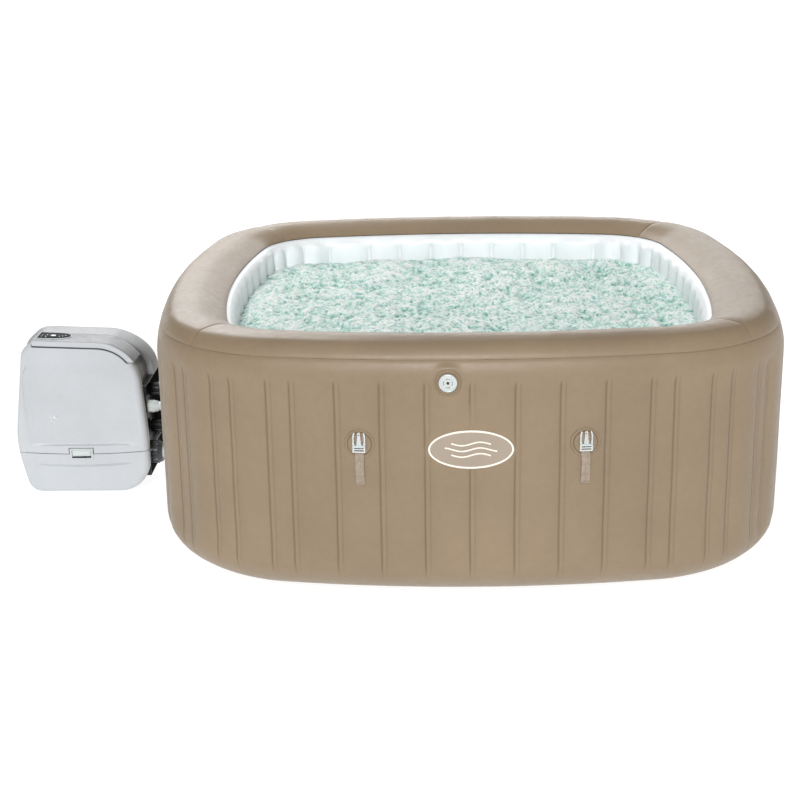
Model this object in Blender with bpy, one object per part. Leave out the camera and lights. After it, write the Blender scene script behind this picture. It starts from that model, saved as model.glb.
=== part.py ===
"""Square inflatable hot tub with its pump and heater unit.

Metres, +Z up.  The origin is on the ground under the middle of the tub, the front faces -Y, and
the pump unit stands on the -X side.  The tub is a set of thin welded skins around one air chamber.
"""
import math
import bpy
import bmesh
from mathutils import Matrix, Vector

# Tub plan: a rounded square made of four shallow side arcs and four corner arcs that meet smoothly.
HALF_SIZE = 1.005
CORNER_R = 0.465
SIDE_HALF_ANGLE = 0.169
SIDE_STEPS = 6
CORNER_STEPS = 8

# Tub wall section, as inset from the outer face and height above the ground.
TUB_H = 0.800
WALL_T = 0.250
BASE_SKIN = 0.0015
SKIN = 0.0013
GAP = 0.0003
FOOT_INSET = 0.270
FOOT_H = 0.158
WALL_FOOT_END = 0.235
SHOULDER_INSET = 0.067
SHOULDER_H = 0.109
RIM_SEAM_ANGLE = math.radians(44.2)
INNER_TURN_H = 0.100
INNER_TURN_POWER = 3.0
INNER_SEAM_ANGLE = math.radians(49.8)
SEAM_GAP = 0.02

# Upright webs that tie the outer wall to the inner wall, as distances along the outline.
WEB_PITCH = 0.128
FRONT_WEB_COUNT = 3
SIDE_WEB_COUNT = 5
CORNER_WEBS = (0.514, 0.583, 0.699, 0.770, 0.890, 0.943)
WEB_T = 0.0012
WEB_TOP = 0.690
WEB_OUTER = 0.0110
WEB_INNER = 0.2385

# Fittings on the wall.
STRAP_ARC = 0.320
STRAP_TOP = 0.560
BUCKLE_W = 0.037
BUCKLE_H = 0.060
BUCKLE_T = 0.009
STRAP_STANDOFF = 0.005
WEBBING_W = 0.026
WEBBING_END = 0.401
VALVE_ARC = -0.068
VALVE_Z = 0.705
VALVE_R = 0.026
NOZZLE_ARC = 0.482
NOZZLE_Z = 0.330
NOZZLE_R = 0.038
DRAIN_ARC = -0.550
DRAIN_STANDOFF = 0.003
DRAIN_Z = 0.190

# Pump unit.  Corners of its front outline as x, z, radius and number of arc steps.
UNIT_CORNERS = (
    (-1.552, 0.004, 0.050, 4),
    (-1.121, 0.004, 0.115, 6),
    (-1.121, 0.220, 0.500, 1),
    (-1.144, 0.542, 0.150, 6),
    (-1.542, 0.559, 0.058, 5),
    (-1.592, 0.190, 0.400, 2),
)
PANEL_LENGTH = 0.112
PANEL_DEPTH = 0.076
PANEL_NOSE = 0.055
PANEL_T = 0.002
PANEL_X = -1.494
PANEL_Y = 0.077
UNIT_MID_X = -1.356
UNIT_TOP = 0.559
UNIT_TOP_SLOPE = math.atan2(0.559 - 0.542, 1.542 - 1.144)
SHELL_T = 0.003
COVER_DEPTH = 0.035
BAND_INSET = 0.012
BAND_BACK = 0.120
UNIT_BACK = 0.400
TRAY_H = 0.0125
SHELL_FOOT = 0.013
SPLIT_Z = 0.159
SPLIT_DIP = 0.010
SPLIT_GAP = 0.0025
LATCH_X = -1.360
LATCH_W = 0.084
LATCH_TOP = 0.171
HATCH_AXIS = (0.012, 0.0128)
BAR_X0 = -1.504
BAR_PROUD = 0.006
PAN_X0 = -1.157
PAN_X1 = -1.126
PAN_Y = (0.052, 0.330)
PAN_Z = (0.050, 0.383)

# Pipes between the unit and the tub: name, y, z, pipe radius and nut radius.
PIPES = (
    ("upper", 0.200, 0.330, 0.017, 0.0245),
    ("middle", 0.085, 0.300, 0.015, 0.0220),
    ("lower", 0.200, 0.190, 0.017, 0.0245),
    ("return", 0.115, 0.118, 0.024, 0.0420),
)
NUT_X = (-1.142, -1.090)

SIDE_R = (HALF_SIZE - CORNER_R * (math.cos(SIDE_HALF_ANGLE) - math.sin(SIDE_HALF_ANGLE))) / (
    1.0 - (math.cos(SIDE_HALF_ANGLE) - math.sin(SIDE_HALF_ANGLE))
)
CORNER_C = HALF_SIZE - SIDE_R + (SIDE_R - CORNER_R) * math.cos(SIDE_HALF_ANGLE)
SIDE_LEN = SIDE_R * SIDE_HALF_ANGLE
QUARTER = 2.0 * (SIDE_LEN + CORNER_R * (math.pi / 4 - SIDE_HALF_ANGLE))

COLOURS = {
    "taupe_vinyl": ((0.36, 0.28, 0.20), 0.45, 0.0),
    "white_vinyl": ((0.82, 0.84, 0.84), 0.40, 0.0),
    "clear_grey": ((0.74, 0.76, 0.77), 0.25, 0.0),
    "taupe_webbing": ((0.30, 0.23, 0.16), 0.80, 0.0),
    "light_plastic": ((0.62, 0.65, 0.67), 0.38, 0.0),
    "grey_plastic": ((0.20, 0.21, 0.22), 0.45, 0.0),
    "black_plastic": ((0.02, 0.02, 0.02), 0.40, 0.0),
    "panel_gloss": ((0.01, 0.01, 0.01), 0.08, 0.0),
    "filter_paper": ((0.75, 0.78, 0.80), 0.90, 0.0),
    "steel": ((0.60, 0.60, 0.60), 0.30, 1.0),
    "board_green": ((0.03, 0.18, 0.07), 0.50, 0.0),
}


def clear_scene():
    """Remove every object that the new file comes with."""
    for obj in list(bpy.data.objects):
        bpy.data.objects.remove(obj, do_unlink=True)


def material(name):
    """One Principled material for each colour of the object."""
    found = bpy.data.materials.get(name)
    if found:
        return found
    colour, roughness, metallic = COLOURS[name]
    made = bpy.data.materials.new(name)
    made.use_nodes = True
    shader = made.node_tree.nodes["Principled BSDF"]
    shader.inputs["Base Color"].default_value = (*colour, 1.0)
    shader.inputs["Roughness"].default_value = roughness
    shader.inputs["Metallic"].default_value = metallic
    return made


def add_object(name, bm, colour, place=None):
    """Turn a bmesh into a named object; place is the matrix from its own frame to the world."""
    bmesh.ops.recalc_face_normals(bm, faces=bm.faces)
    mesh = bpy.data.meshes.new(name)
    bm.to_mesh(mesh)
    bm.free()
    obj = bpy.data.objects.new(name, mesh)
    bpy.context.collection.objects.link(obj)
    obj.matrix_world = place or Matrix()
    mesh.materials.append(material(colour))
    mesh.shade_smooth()
    mesh.set_sharp_from_angle(angle=math.radians(35))
    return obj


def combine(target, cutter, operation):
    """Add a Boolean to the target and hide the shape that it uses."""
    cutter.hide_render = True
    cutter.display_type = "WIRE"
    modifier = target.modifiers.new(operation.lower(), "BOOLEAN")
    modifier.operation = operation
    modifier.object = cutter
    return target


def frame_at(point, axis, up=(0.0, 0.0, 1.0)):
    """Matrix whose local Z is the axis and whose local Y leans towards up."""
    z_dir = Vector(axis).normalized()
    x_dir = Vector(up).cross(z_dir)
    if x_dir.length < 1e-6:
        x_dir = Vector((1.0, 0.0, 0.0))
    x_dir.normalize()
    y_dir = z_dir.cross(x_dir)
    turn = Matrix((x_dir, y_dir, z_dir)).transposed().to_4x4()
    return Matrix.Translation(Vector(point)) @ turn


def loft(rings, closed_along=False, cap_ends=True):
    """Skin a list of closed point rings into a bmesh, closing it along its length or capping it."""
    bm = bmesh.new()
    loops = [[bm.verts.new(p) for p in ring] for ring in rings]
    spans = len(loops) if closed_along else len(loops) - 1
    for i in range(spans):
        low = loops[i]
        high = loops[(i + 1) % len(loops)]
        for j in range(len(low)):
            k = (j + 1) % len(low)
            bm.faces.new((low[j], low[k], high[k], high[j]))
    if cap_ends and not closed_along:
        bm.faces.new(loops[0])
        bm.faces.new(loops[-1])
    return bm


def box_mesh(low, high):
    """Axis-aligned box between two corners."""
    (x0, y0, z0), (x1, y1, z1) = low, high
    bottom = [(x0, y0, z0), (x1, y0, z0), (x1, y1, z0), (x0, y1, z0)]
    top = [(x, y, z1) for x, y, _ in bottom]
    return loft([bottom, top])


def prism(points, y0, y1):
    """Extrude a closed outline of (x, z) points from y0 to y1."""
    return loft([[(x, y0, z) for x, z in points], [(x, y1, z) for x, z in points]])


def turned(name, profile, place, colour, steps=16):
    """Turn (radius, height) points about local Z.  A profile off the axis is closed into a ring."""
    bm = bmesh.new()
    solid = profile[0][0] == 0.0
    rows = []
    for radius, height in profile:
        if radius == 0.0:
            rows.append([bm.verts.new((0.0, 0.0, height))])
            continue
        angles = [2.0 * math.pi * i / steps for i in range(steps)]
        rows.append([bm.verts.new((radius * math.cos(a), radius * math.sin(a), height)) for a in angles])
    count = len(rows)
    for i in range(count - 1 if solid else count):
        low = rows[i]
        high = rows[(i + 1) % count]
        for j in range(steps):
            k = (j + 1) % steps
            corners = [low[j % len(low)], low[k % len(low)], high[k % len(high)], high[j % len(high)]]
            unique = list(dict.fromkeys(corners))
            bm.faces.new(unique)
    return add_object(name, bm, colour, place)


# ---------------------------------------------------------------- tub plan and section

def plan_point(arc, inset=0.0):
    """Point on the plan outline: arc runs from the front's middle towards +X; inset goes inwards."""
    side = math.floor((arc + QUARTER / 2) / QUARTER)
    along = arc - side * QUARTER
    sign = 1.0 if along >= 0.0 else -1.0
    if abs(along) <= SIDE_LEN:
        angle = along / SIDE_R
        x = HALF_SIZE - SIDE_R + (SIDE_R - inset) * math.cos(angle)
        y = (SIDE_R - inset) * math.sin(angle)
    else:
        angle = sign * (SIDE_HALF_ANGLE + (abs(along) - SIDE_LEN) / CORNER_R)
        x = CORNER_C + (CORNER_R - inset) * math.cos(angle)
        y = sign * CORNER_C + (CORNER_R - inset) * math.sin(angle)
    turn = math.radians(90.0 * (side - 1))
    return (x * math.cos(turn) - y * math.sin(turn), x * math.sin(turn) + y * math.cos(turn))


def plan_normal(arc):
    """Unit vector that points straight out of the wall."""
    x0, y0 = plan_point(arc, 0.01)
    x1, y1 = plan_point(arc, 0.0)
    return Vector(((x1 - x0) * 100.0, (y1 - y0) * 100.0, 0.0))


def quarter_columns(trim=0.0):
    """Column positions along one side, from corner middle to corner middle."""
    corner = QUARTER / 2 - trim
    half = CORNER_STEPS // 2
    left = [-corner + (corner - SIDE_LEN) * i / half for i in range(half)]
    middle = [-SIDE_LEN + 2.0 * SIDE_LEN * i / SIDE_STEPS for i in range(SIDE_STEPS + 1)]
    right = [-a for a in reversed(left)]
    return left + middle + right


def ring_columns():
    """Column positions round the whole tub, without repeating the corner middles."""
    return [side * QUARTER + a for side in range(4) for a in quarter_columns()[:-1]]


def foot_curve(first_angle, steps):
    """Rounded foot of the outer wall, from under the tub up to the vertical face."""
    angles = [first_angle + (math.pi / 2 - first_angle) * i / steps for i in range(steps + 1)]
    start = BASE_SKIN + GAP
    return [(FOOT_INSET * (1 - math.sin(a)), start + FOOT_H * (1 - math.cos(a))) for a in angles]


def shoulder_point(angle):
    """Outer shoulder: 0 at the vertical face, a quarter turn at the crest."""
    base = TUB_H - SHOULDER_H
    return (SHOULDER_INSET * (1 - math.cos(angle)), base + SHOULDER_H * math.sin(angle))


def inner_turn_point(angle):
    """Broad turn from the crest, at 0, down to the vertical inner face, at a quarter turn."""
    power = 2.0 / INNER_TURN_POWER
    across = (WALL_T - SHOULDER_INSET) * math.sin(angle) ** power
    drop = INNER_TURN_H * (1 - max(math.cos(angle), 0.0) ** power)
    return (SHOULDER_INSET + across, TUB_H - drop)


def thicken(path, thickness=SKIN):
    """Close an (inset, z) path into a thin section, on the side of the air chamber."""
    inner = []
    for i, point in enumerate(path):
        before = path[max(i - 1, 0)]
        after = path[min(i + 1, len(path) - 1)]
        run = Vector((after[0] - before[0], after[1] - before[1])).normalized()
        inner.append((point[0] + run.y * thickness, point[1] - run.x * thickness))
    return list(path) + inner[::-1]


def skin_ring(name, section, colour):
    """Sweep a closed section all the way round the tub."""
    rings = [[(*plan_point(a, inset), z) for inset, z in section] for a in ring_columns()]
    return add_object(name, loft(rings, closed_along=True), colour)


def flat_sheet(name, inset, z0, z1, colour):
    """Flat sheet with the tub's rounded square outline."""
    outline = [plan_point(a, inset) for a in ring_columns()]
    rings = [[(x, y, z) for x, y in outline] for z in (z0, z1)]
    return add_object(name, loft(rings), colour)


# ---------------------------------------------------------------- tub skins

def make_base_and_floor():
    """Base sheet on the ground, and the floor liner that lies on it inside the wall."""
    flat_sheet("base_sheet", 0.205, 0.0, BASE_SKIN, "taupe_vinyl")
    low = BASE_SKIN + GAP
    flat_sheet("floor_liner", WALL_T + GAP, low, low + SKIN, "white_vinyl")


def make_outer_wall():
    """Outer wall with its rounded foot, up to the weld under the top panels."""
    first = math.asin(1 - WALL_FOOT_END / FOOT_INSET)
    path = foot_curve(first, 5)
    steps = 2
    path += [shoulder_point((RIM_SEAM_ANGLE - SEAM_GAP) * i / steps) for i in range(steps + 1)]
    skin_ring("outer_wall", thicken(path), "taupe_vinyl")


def make_inner_wall():
    """White inner wall, from the weld inside the rim down to the floor liner."""
    start = INNER_SEAM_ANGLE + SEAM_GAP
    steps = 3
    path = [inner_turn_point(start + (math.pi / 2 - start) * i / steps) for i in range(steps + 1)]
    path.append((WALL_T, BASE_SKIN + 2 * GAP + SKIN))
    skin_ring("inner_wall", thicken(path), "white_vinyl")


def make_rim():
    """Four top panels, mitred where they meet at the corners."""
    path = [shoulder_point(RIM_SEAM_ANGLE + (math.pi / 2 - RIM_SEAM_ANGLE) * i / 2) for i in range(2)]
    path += [inner_turn_point(INNER_SEAM_ANGLE * (i / 4) ** 1.5) for i in range(5)]
    section = thicken(path)
    for side, label in enumerate(("front", "right", "back", "left")):
        columns = [side * QUARTER + a for a in quarter_columns(trim=0.0006)]
        rings = [[(*plan_point(a, inset), z) for inset, z in section] for a in columns]
        add_object("rim_" + label, loft(rings), "taupe_vinyl")


def web_positions():
    """Web positions round the whole tub; front and back have the same set, and so do the sides."""
    front = [WEB_PITCH * i for i in range(-FRONT_WEB_COUNT, FRONT_WEB_COUNT + 1)]
    front += [sign * a for a in CORNER_WEBS for sign in (-1, 1)]
    side = [WEB_PITCH * i for i in range(-SIDE_WEB_COUNT, SIDE_WEB_COUNT + 1)]
    return [k * QUARTER + a for k, group in enumerate((front, side, front, side)) for a in group]


def make_wall_webs():
    """Upright webs inside the air chamber, joined by the band that they stand on."""
    foot = ((WEB_OUTER, 0.172), (0.060, 0.078), (0.150, 0.026))
    shape = foot + ((WEB_INNER, 0.026), (WEB_INNER, WEB_TOP), (WEB_OUTER, WEB_TOP))
    webs = bmesh.new()
    for arc in web_positions():
        out = plan_normal(arc)
        half = Vector((-out.y, out.x, 0.0)) * WEB_T / 2
        start = Vector((*plan_point(arc), 0.0))
        points = [start - out * inset + Vector((0.0, 0.0, z)) for inset, z in shape]
        back = [webs.verts.new(p - half) for p in points]
        front = [webs.verts.new(p + half) for p in points]
        webs.faces.new(back)
        webs.faces.new(front)
        for i in range(len(points)):
            j = (i + 1) % len(points)
            webs.faces.new((back[i], back[j], front[j], front[i]))
    section = [(0.170, 0.022), (0.240, 0.022), (0.240, 0.030), (0.170, 0.030)]
    band = skin_ring("wall_webs", section, "white_vinyl")
    combine(band, add_object("web_shapes", webs, "white_vinyl"), "UNION")


# ---------------------------------------------------------------- fittings on the tub

def wall_frame(arc, z, standoff):
    """Frame on the wall: local X along the wall, local Y up, local Z straight out."""
    out = plan_normal(arc)
    x, y = plan_point(arc)
    return frame_at((x + out.x * standoff, y + out.y * standoff, z), out)


def buckle_outline():
    """Side-release plug seen from the front, standing on its ladder bar with its prongs up."""
    w = BUCKLE_W / 2
    h = BUCKLE_H
    half = [(0.0024, h - 0.002), (0.0024, h - 0.026), (0.0085, h - 0.026), (0.0085, h - 0.004), (0.0120, h)]
    half += [(w - 0.001, h - 0.006), (w, h - 0.014), (w - 0.003, h - 0.030), (w, h - 0.034), (w, 0.002)]
    half += [(w - 0.002, 0.0)]
    return half + [(-x, y) for x, y in reversed(half)]


def make_straps():
    """Cover straps, two on each side: webbing on the wall and a plug buckle that tips forward."""
    foot = STRAP_TOP - BUCKLE_H
    for side, label in enumerate(("front", "right", "back", "left")):
        for sign, hand in ((-1, "a"), (1, "b")):
            arc = side * QUARTER + sign * STRAP_ARC
            hinge = wall_frame(arc, foot, STRAP_STANDOFF + BUCKLE_T)
            rings = [[(x, y, z) for x, y in buckle_outline()] for z in (-BUCKLE_T, 0.0)]
            add_object("buckle_%s_%s" % (label, hand), loft(rings), "clear_grey", hinge)
            back = wall_frame(arc, foot, STRAP_STANDOFF)
            low = (-WEBBING_W / 2, WEBBING_END - foot, -0.0030)
            high = (WEBBING_W / 2, BUCKLE_H - 0.014, -0.0008)
            add_object("webbing_%s_%s" % (label, hand), box_mesh(low, high), "taupe_webbing", back)


def make_inflation_valve():
    """Screw valve on the front shoulder: a welded socket and its turning cap."""
    rise = (VALVE_Z - (TUB_H - SHOULDER_H)) / SHOULDER_H
    angle = math.asin(rise)
    inset, _ = shoulder_point(angle)
    slope = SHOULDER_INSET * math.sin(angle) / (SHOULDER_H * math.cos(angle))
    out = plan_normal(VALVE_ARC)
    axis = (out + Vector((0.0, 0.0, slope))).normalized()
    x, y = plan_point(VALVE_ARC, inset)
    place = frame_at(Vector((x, y, VALVE_Z)) + axis * 0.0006, axis)
    r = VALVE_R
    socket = [(0.021, 0.0), (r + 0.010, 0.0), (r + 0.010, 0.0012), (r + 0.001, 0.004), (0.021, 0.004)]
    turned("inflation_valve", socket, place, "taupe_vinyl", 24)
    cap = [(0.0, 0.0005), (0.0205, 0.0005), (0.0205, 0.0044), (r, 0.0044), (r, 0.0075), (r - 0.003, 0.0095)]
    cap += [(0.014, 0.0095), (0.014, 0.0085), (0.011, 0.0085), (0.011, 0.0095), (0.0, 0.0095)]
    turned("valve_cap", cap, place, "clear_grey", 24)


def make_nozzles():
    """Eight hydro-jet nozzles in the inner wall, each turning in its own seat."""
    count = 0
    for side in range(4):
        for sign in (-1, 1):
            count += 1
            arc = side * QUARTER + sign * NOZZLE_ARC
            out = plan_normal(arc)
            x, y = plan_point(arc, WALL_T + 0.002)
            place = frame_at((x, y, NOZZLE_Z), -out)
            r = NOZZLE_R
            ring = [(0.008, 0.0), (r, 0.0), (r, 0.004), (0.024, 0.009), (0.016, 0.009), (0.008, 0.005)]
            turned("jet_nozzle_%d" % count, ring, place, "clear_grey")


def make_drain_cap():
    """Screw cap of the drain, low on the pump side of the outer wall, behind the pump unit."""
    place = wall_frame(3 * QUARTER + DRAIN_ARC, DRAIN_Z, DRAIN_STANDOFF)
    cap = [(0.0, 0.0), (0.030, 0.0), (0.030, 0.004), (0.024, 0.005), (0.024, 0.020)]
    cap += [(0.021, 0.022), (0.0, 0.022)]
    turned("drain_cap", cap, place, "grey_plastic")


# ---------------------------------------------------------------- pump unit shells

def unit_outline(inset=0.0, drop=0.0):
    """Closed (x, z) outline of the unit; inset shrinks it evenly and drop lowers its top."""
    points = []
    corners = [Vector((x, z)) for x, z, _, _ in UNIT_CORNERS]
    for i, (_, _, radius, steps) in enumerate(UNIT_CORNERS):
        here = corners[i]
        back = (corners[i - 1] - here).normalized()
        ahead = (corners[(i + 1) % len(corners)] - here).normalized()
        half = math.acos(max(-1.0, min(1.0, back.dot(ahead)))) / 2
        centre = here + (back + ahead).normalized() * (radius / math.sin(half))
        first = here + back * (radius / math.tan(half)) - centre
        turn = math.pi - 2.0 * half
        start = math.atan2(first.y, first.x)
        for step in range(steps + 1):
            angle = start + turn * step / steps
            points.append(centre + Vector((math.cos(angle), math.sin(angle))) * (radius - inset))
    scale = 1.0 - drop / UNIT_TOP
    return [(p.x, p.y * scale) for p in points]


def unit_cup(name, stations, colour):
    """Open shell from (y, inset, drop) stations; the last one is its closed end."""
    forward = 1.0 if stations[-1][0] > stations[0][0] else -1.0
    outer = [[(x, y, z) for x, z in unit_outline(inset, drop)] for y, inset, drop in stations]
    inner = []
    for i, (y, inset, drop) in enumerate(stations):
        back = 0.0 if i == 0 else SHELL_T * forward * min(1.0, i / (len(stations) - 1))
        ring = unit_outline(inset + SHELL_T, drop)
        inner.append([(x, y - back, z) for x, z in ring])
    return add_object(name, loft(outer[::-1] + inner), colour)


def trim_foot(obj):
    """Cut the foot of a unit shell open, where the base tray fills it."""
    bm = box_mesh((-1.70, -0.10, -0.10), (-1.00, 0.50, SHELL_FOOT))
    combine(obj, add_object(obj.name + "_foot_cut", bm, "grey_plastic"), "DIFFERENCE")


def hatch_region(grow):
    """Outline below the curved split line, with the square tongue that carries the latch."""
    x0, x1 = -1.65, -1.05
    tongue = LATCH_W / 2 + grow
    line = []
    for i in range(13):
        x = x1 + (x0 - x1) * i / 12
        bow = 1.0 - ((x - UNIT_MID_X) / 0.235) ** 2
        line.append((x, SPLIT_Z + grow - SPLIT_DIP * max(bow, 0.0)))
    right = [p for p in line if p[0] > LATCH_X + tongue]
    left = [p for p in line if p[0] < LATCH_X - tongue]
    edge = SPLIT_Z + grow - SPLIT_DIP
    top = LATCH_TOP + grow
    block = [(LATCH_X + tongue, edge), (LATCH_X + tongue, top)]
    block += [(LATCH_X - tongue, top), (LATCH_X - tongue, edge)]
    return right + block + left + [(x0, -0.05), (x1, -0.05)]


def make_front_covers():
    """Front cover and, below the curved split, the filter hatch with its latch window."""
    stations = ((COVER_DEPTH, 0.0, 0.0), (0.016, 0.0, 0.0), (0.005, 0.005, 0.0), (0.0, 0.020, 0.0))
    cover = unit_cup("front_cover", stations, "light_plastic")
    below = add_object("hatch_room", prism(hatch_region(SPLIT_GAP), -0.02, 0.06), "light_plastic")
    combine(cover, below, "DIFFERENCE")
    hatch = unit_cup("filter_hatch", stations, "light_plastic")
    keep = add_object("hatch_shape", prism(hatch_region(0.0), -0.02, 0.06), "light_plastic")
    combine(hatch, keep, "INTERSECT")
    trim_foot(hatch)
    low = (LATCH_X - 0.035, -0.01, 0.134)
    high = (LATCH_X + 0.035, 0.02, 0.165)
    combine(hatch, add_object("latch_window", box_mesh(low, high), "light_plastic"), "DIFFERENCE")
    place = Matrix.Translation(Vector((UNIT_MID_X, HATCH_AXIS[0], HATCH_AXIS[1])))
    hatch.data.transform(place.inverted())
    hatch.matrix_world = place


def make_latch():
    """Latch tab: a finger plate in the window on a wider plate behind it."""
    place = Matrix.Translation(Vector((LATCH_X, 0.0, 0.150)))
    outer = [(-0.033, -0.008), (0.033, -0.008), (0.033, 0.014), (-0.033, 0.014)]
    wide = [(-0.039, -0.009), (0.039, -0.009), (0.039, 0.018), (-0.039, 0.018)]
    rings = [[(x, 0.0008, z) for x, z in outer], [(x, SHELL_T + GAP, z) for x, z in outer]]
    rings += [[(x, SHELL_T + GAP, z) for x, z in wide], [(x, 0.0065, z) for x, z in wide]]
    add_object("hatch_latch", loft(rings), "clear_grey", place)


def make_middle_band():
    """Darker recessed band between the front covers and the rear shell, notched for the couplings."""
    y0 = COVER_DEPTH + GAP
    corner_sets = ((BAND_INSET, y0), (BAND_INSET, BAND_BACK), (BAND_INSET + SHELL_T, BAND_BACK))
    corner_sets += ((BAND_INSET + SHELL_T, y0),)
    rings = [[(x, y, z) for x, z in unit_outline(inset)] for inset, y in corner_sets]
    band = add_object("middle_band", loft(rings, closed_along=True), "grey_plastic")
    combine(band, pan_room("band"), "DIFFERENCE")


def pan_room(label):
    """Room that the shells leave for the coupling pan."""
    low = (PAN_X0 - GAP, PAN_Y[0] - GAP, PAN_Z[0] - GAP)
    high = (-1.05, PAN_Y[1] + GAP, PAN_Z[1] + GAP)
    return add_object(label + "_pan_room", box_mesh(low, high), "grey_plastic")


def make_rear_shell():
    """Rear shell, whose top falls towards the back."""
    stations = (
        (BAND_BACK + GAP, -0.008, 0.0),
        (0.230, -0.008, 0.0),
        (0.310, -0.005, 0.030),
        (0.368, 0.005, 0.064),
        (0.391, 0.020, 0.088),
        (UNIT_BACK, 0.042, 0.120),
    )
    shell = unit_cup("rear_shell", stations, "light_plastic")
    trim_foot(shell)
    combine(shell, pan_room("rear"), "DIFFERENCE")


def make_base_tray():
    """Tray that the unit stands on, with a raised edge inside the shells."""
    x0, x1, y0, y1 = -1.512, -1.212, 0.046, 0.372
    tray = add_object("base_tray", box_mesh((x0, y0, 0.0), (x1, y1, TRAY_H)), "grey_plastic")
    dish = box_mesh((x0 + 0.006, y0 + 0.006, 0.004), (x1 - 0.006, y1 - 0.006, 0.050))
    combine(tray, add_object("tray_dish", dish, "grey_plastic"), "DIFFERENCE")


def make_control_bar():
    """Raised bar along the top that bends down the right-hand corner and ends in a slanted cut."""
    outer = unit_outline(-BAR_PROUD)
    inner = unit_outline(BAND_INSET - GAP)
    picked = [i for i, (x, z) in enumerate(outer) if z > 0.49 and x > BAR_X0]
    run = sorted(picked, key=lambda i: -outer[i][0])
    fall = (outer[run[-1]][0] - BAR_X0) * math.tan(UNIT_TOP_SLOPE)
    upper = [outer[i] for i in run] + [(BAR_X0, outer[run[-1]][1] + fall)]
    lower = [inner[i] for i in run] + [(BAR_X0, inner[run[-1]][1] + fall)]
    y0 = COVER_DEPTH + 2 * GAP
    add_object("control_bar", prism(upper + lower[::-1], y0, BAND_BACK - 0.001), "light_plastic")


def make_control_panel():
    """Glossy touch panel on the bar: straight at its left end and rounded to a tip at the right."""
    half = PANEL_DEPTH / 2
    square = PANEL_LENGTH - PANEL_NOSE
    points = [(0.0, -half), (square, -half)]
    for i in range(1, 8):
        angle = -math.pi / 2 + math.pi * i / 8
        points.append((square + PANEL_NOSE * math.cos(angle), half * math.sin(angle)))
    points += [(square, half), (0.0, half)]
    rings = [[(x, y, z) for x, y in points] for z in (0.0, PANEL_T)]
    top = UNIT_TOP - (PANEL_X - UNIT_CORNERS[4][0]) * math.tan(UNIT_TOP_SLOPE) + BAR_PROUD + 2 * GAP
    place = Matrix.Translation(Vector((PANEL_X, PANEL_Y, top))) @ Matrix.Rotation(UNIT_TOP_SLOPE, 4, "Y")
    add_object("control_panel", loft(rings), "panel_gloss", place)


# ---------------------------------------------------------------- couplings and inner parts

def make_coupling_pan():
    """Recessed dark pan on the side that faces the tub; the pipes leave it."""
    pan = add_object("coupling_pan", box_mesh((PAN_X0, PAN_Y[0], PAN_Z[0]), (PAN_X1, PAN_Y[1], PAN_Z[1])),
                     "black_plastic")
    low = (PAN_X0 + SHELL_T, PAN_Y[0] + SHELL_T, PAN_Z[0] + SHELL_T)
    high = (PAN_X1 + 0.05, PAN_Y[1] - SHELL_T, PAN_Z[1] - SHELL_T)
    combine(pan, add_object("pan_hollow", box_mesh(low, high), "black_plastic"), "DIFFERENCE")


def make_pipes():
    """Pipes from the pan to flanges on the tub wall, each with a union nut that turns on it."""
    x_start = PAN_X0 + SHELL_T + GAP
    for name, y, z, radius, nut_r in PIPES:
        flange_r = radius + 0.010
        reach = min(abs(y - flange_r), abs(y + flange_r))
        wall_x = -HALF_SIZE + reach ** 2 / (2 * SIDE_R) - 0.0008
        length = wall_x - x_start
        place = frame_at((x_start, y, z), (1.0, 0.0, 0.0))
        bore = radius - 0.003
        pipe = [(bore, 0.0), (radius, 0.0), (radius, length - 0.005), (flange_r, length - 0.005)]
        pipe += [(flange_r, length), (bore, length)]
        turned(name + "_pipe", pipe, place, "clear_grey")
        a, b = NUT_X
        nut_place = frame_at((a, y, z), (1.0, 0.0, 0.0))
        hole = radius + 0.0008
        nut = [(hole, 0.0), (nut_r, 0.0), (nut_r, b - a - 0.006), (nut_r - 0.005, b - a), (hole, b - a)]
        turned(name + "_nut", nut, nut_place, "black_plastic")


def make_inner_parts():
    """Filter, jet pump with its impeller, heater, blower, controller and the mains gland."""
    across = (1.0, 0.0, 0.0)
    along = (0.0, 1.0, 0.0)
    filter_ring = [(0.018, 0.0), (0.045, 0.0), (0.045, 0.20), (0.018, 0.20)]
    turned("filter_cartridge", filter_ring, frame_at((-1.450, 0.125, 0.080), across), "filter_paper")
    pump_place = frame_at((-1.470, 0.195, 0.115), along)
    volute = [(0.0, 0.130), (0.040, 0.130), (0.040, 0.045), (0.056, 0.045), (0.056, 0.0), (0.024, 0.0)]
    volute += [(0.024, 0.004), (0.052, 0.004), (0.052, 0.040), (0.0, 0.040)]
    turned("jet_pump", volute, pump_place, "black_plastic")
    rotor = [(0.0, 0.010), (0.018, 0.010), (0.045, 0.018), (0.045, 0.034), (0.0, 0.034)]
    turned("pump_impeller", rotor, pump_place, "steel")
    heater = [(0.024, 0.0), (0.028, 0.0), (0.028, 0.250), (0.024, 0.250)]
    turned("heater_tube", heater, frame_at((-1.480, 0.270, 0.300), across), "steel")
    blower = [(0.0, 0.120), (0.045, 0.120), (0.045, 0.0), (0.020, 0.0), (0.020, 0.004)]
    blower += [(0.041, 0.004), (0.041, 0.116)]
    turned("air_blower", blower + [(0.0, 0.116)], frame_at((-1.225, 0.200, 0.115), along), "grey_plastic")
    add_object("controller_box", box_mesh((-1.480, 0.130, 0.400), (-1.300, 0.240, 0.470)), "board_green")
    gland = [(0.0045, 0.0), (0.011, 0.0), (0.011, 0.010), (0.008, 0.028), (0.0045, 0.028)]
    turned("cable_gland", gland, frame_at((-1.450, UNIT_BACK + GAP, 0.090), along), "black_plastic")


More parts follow.
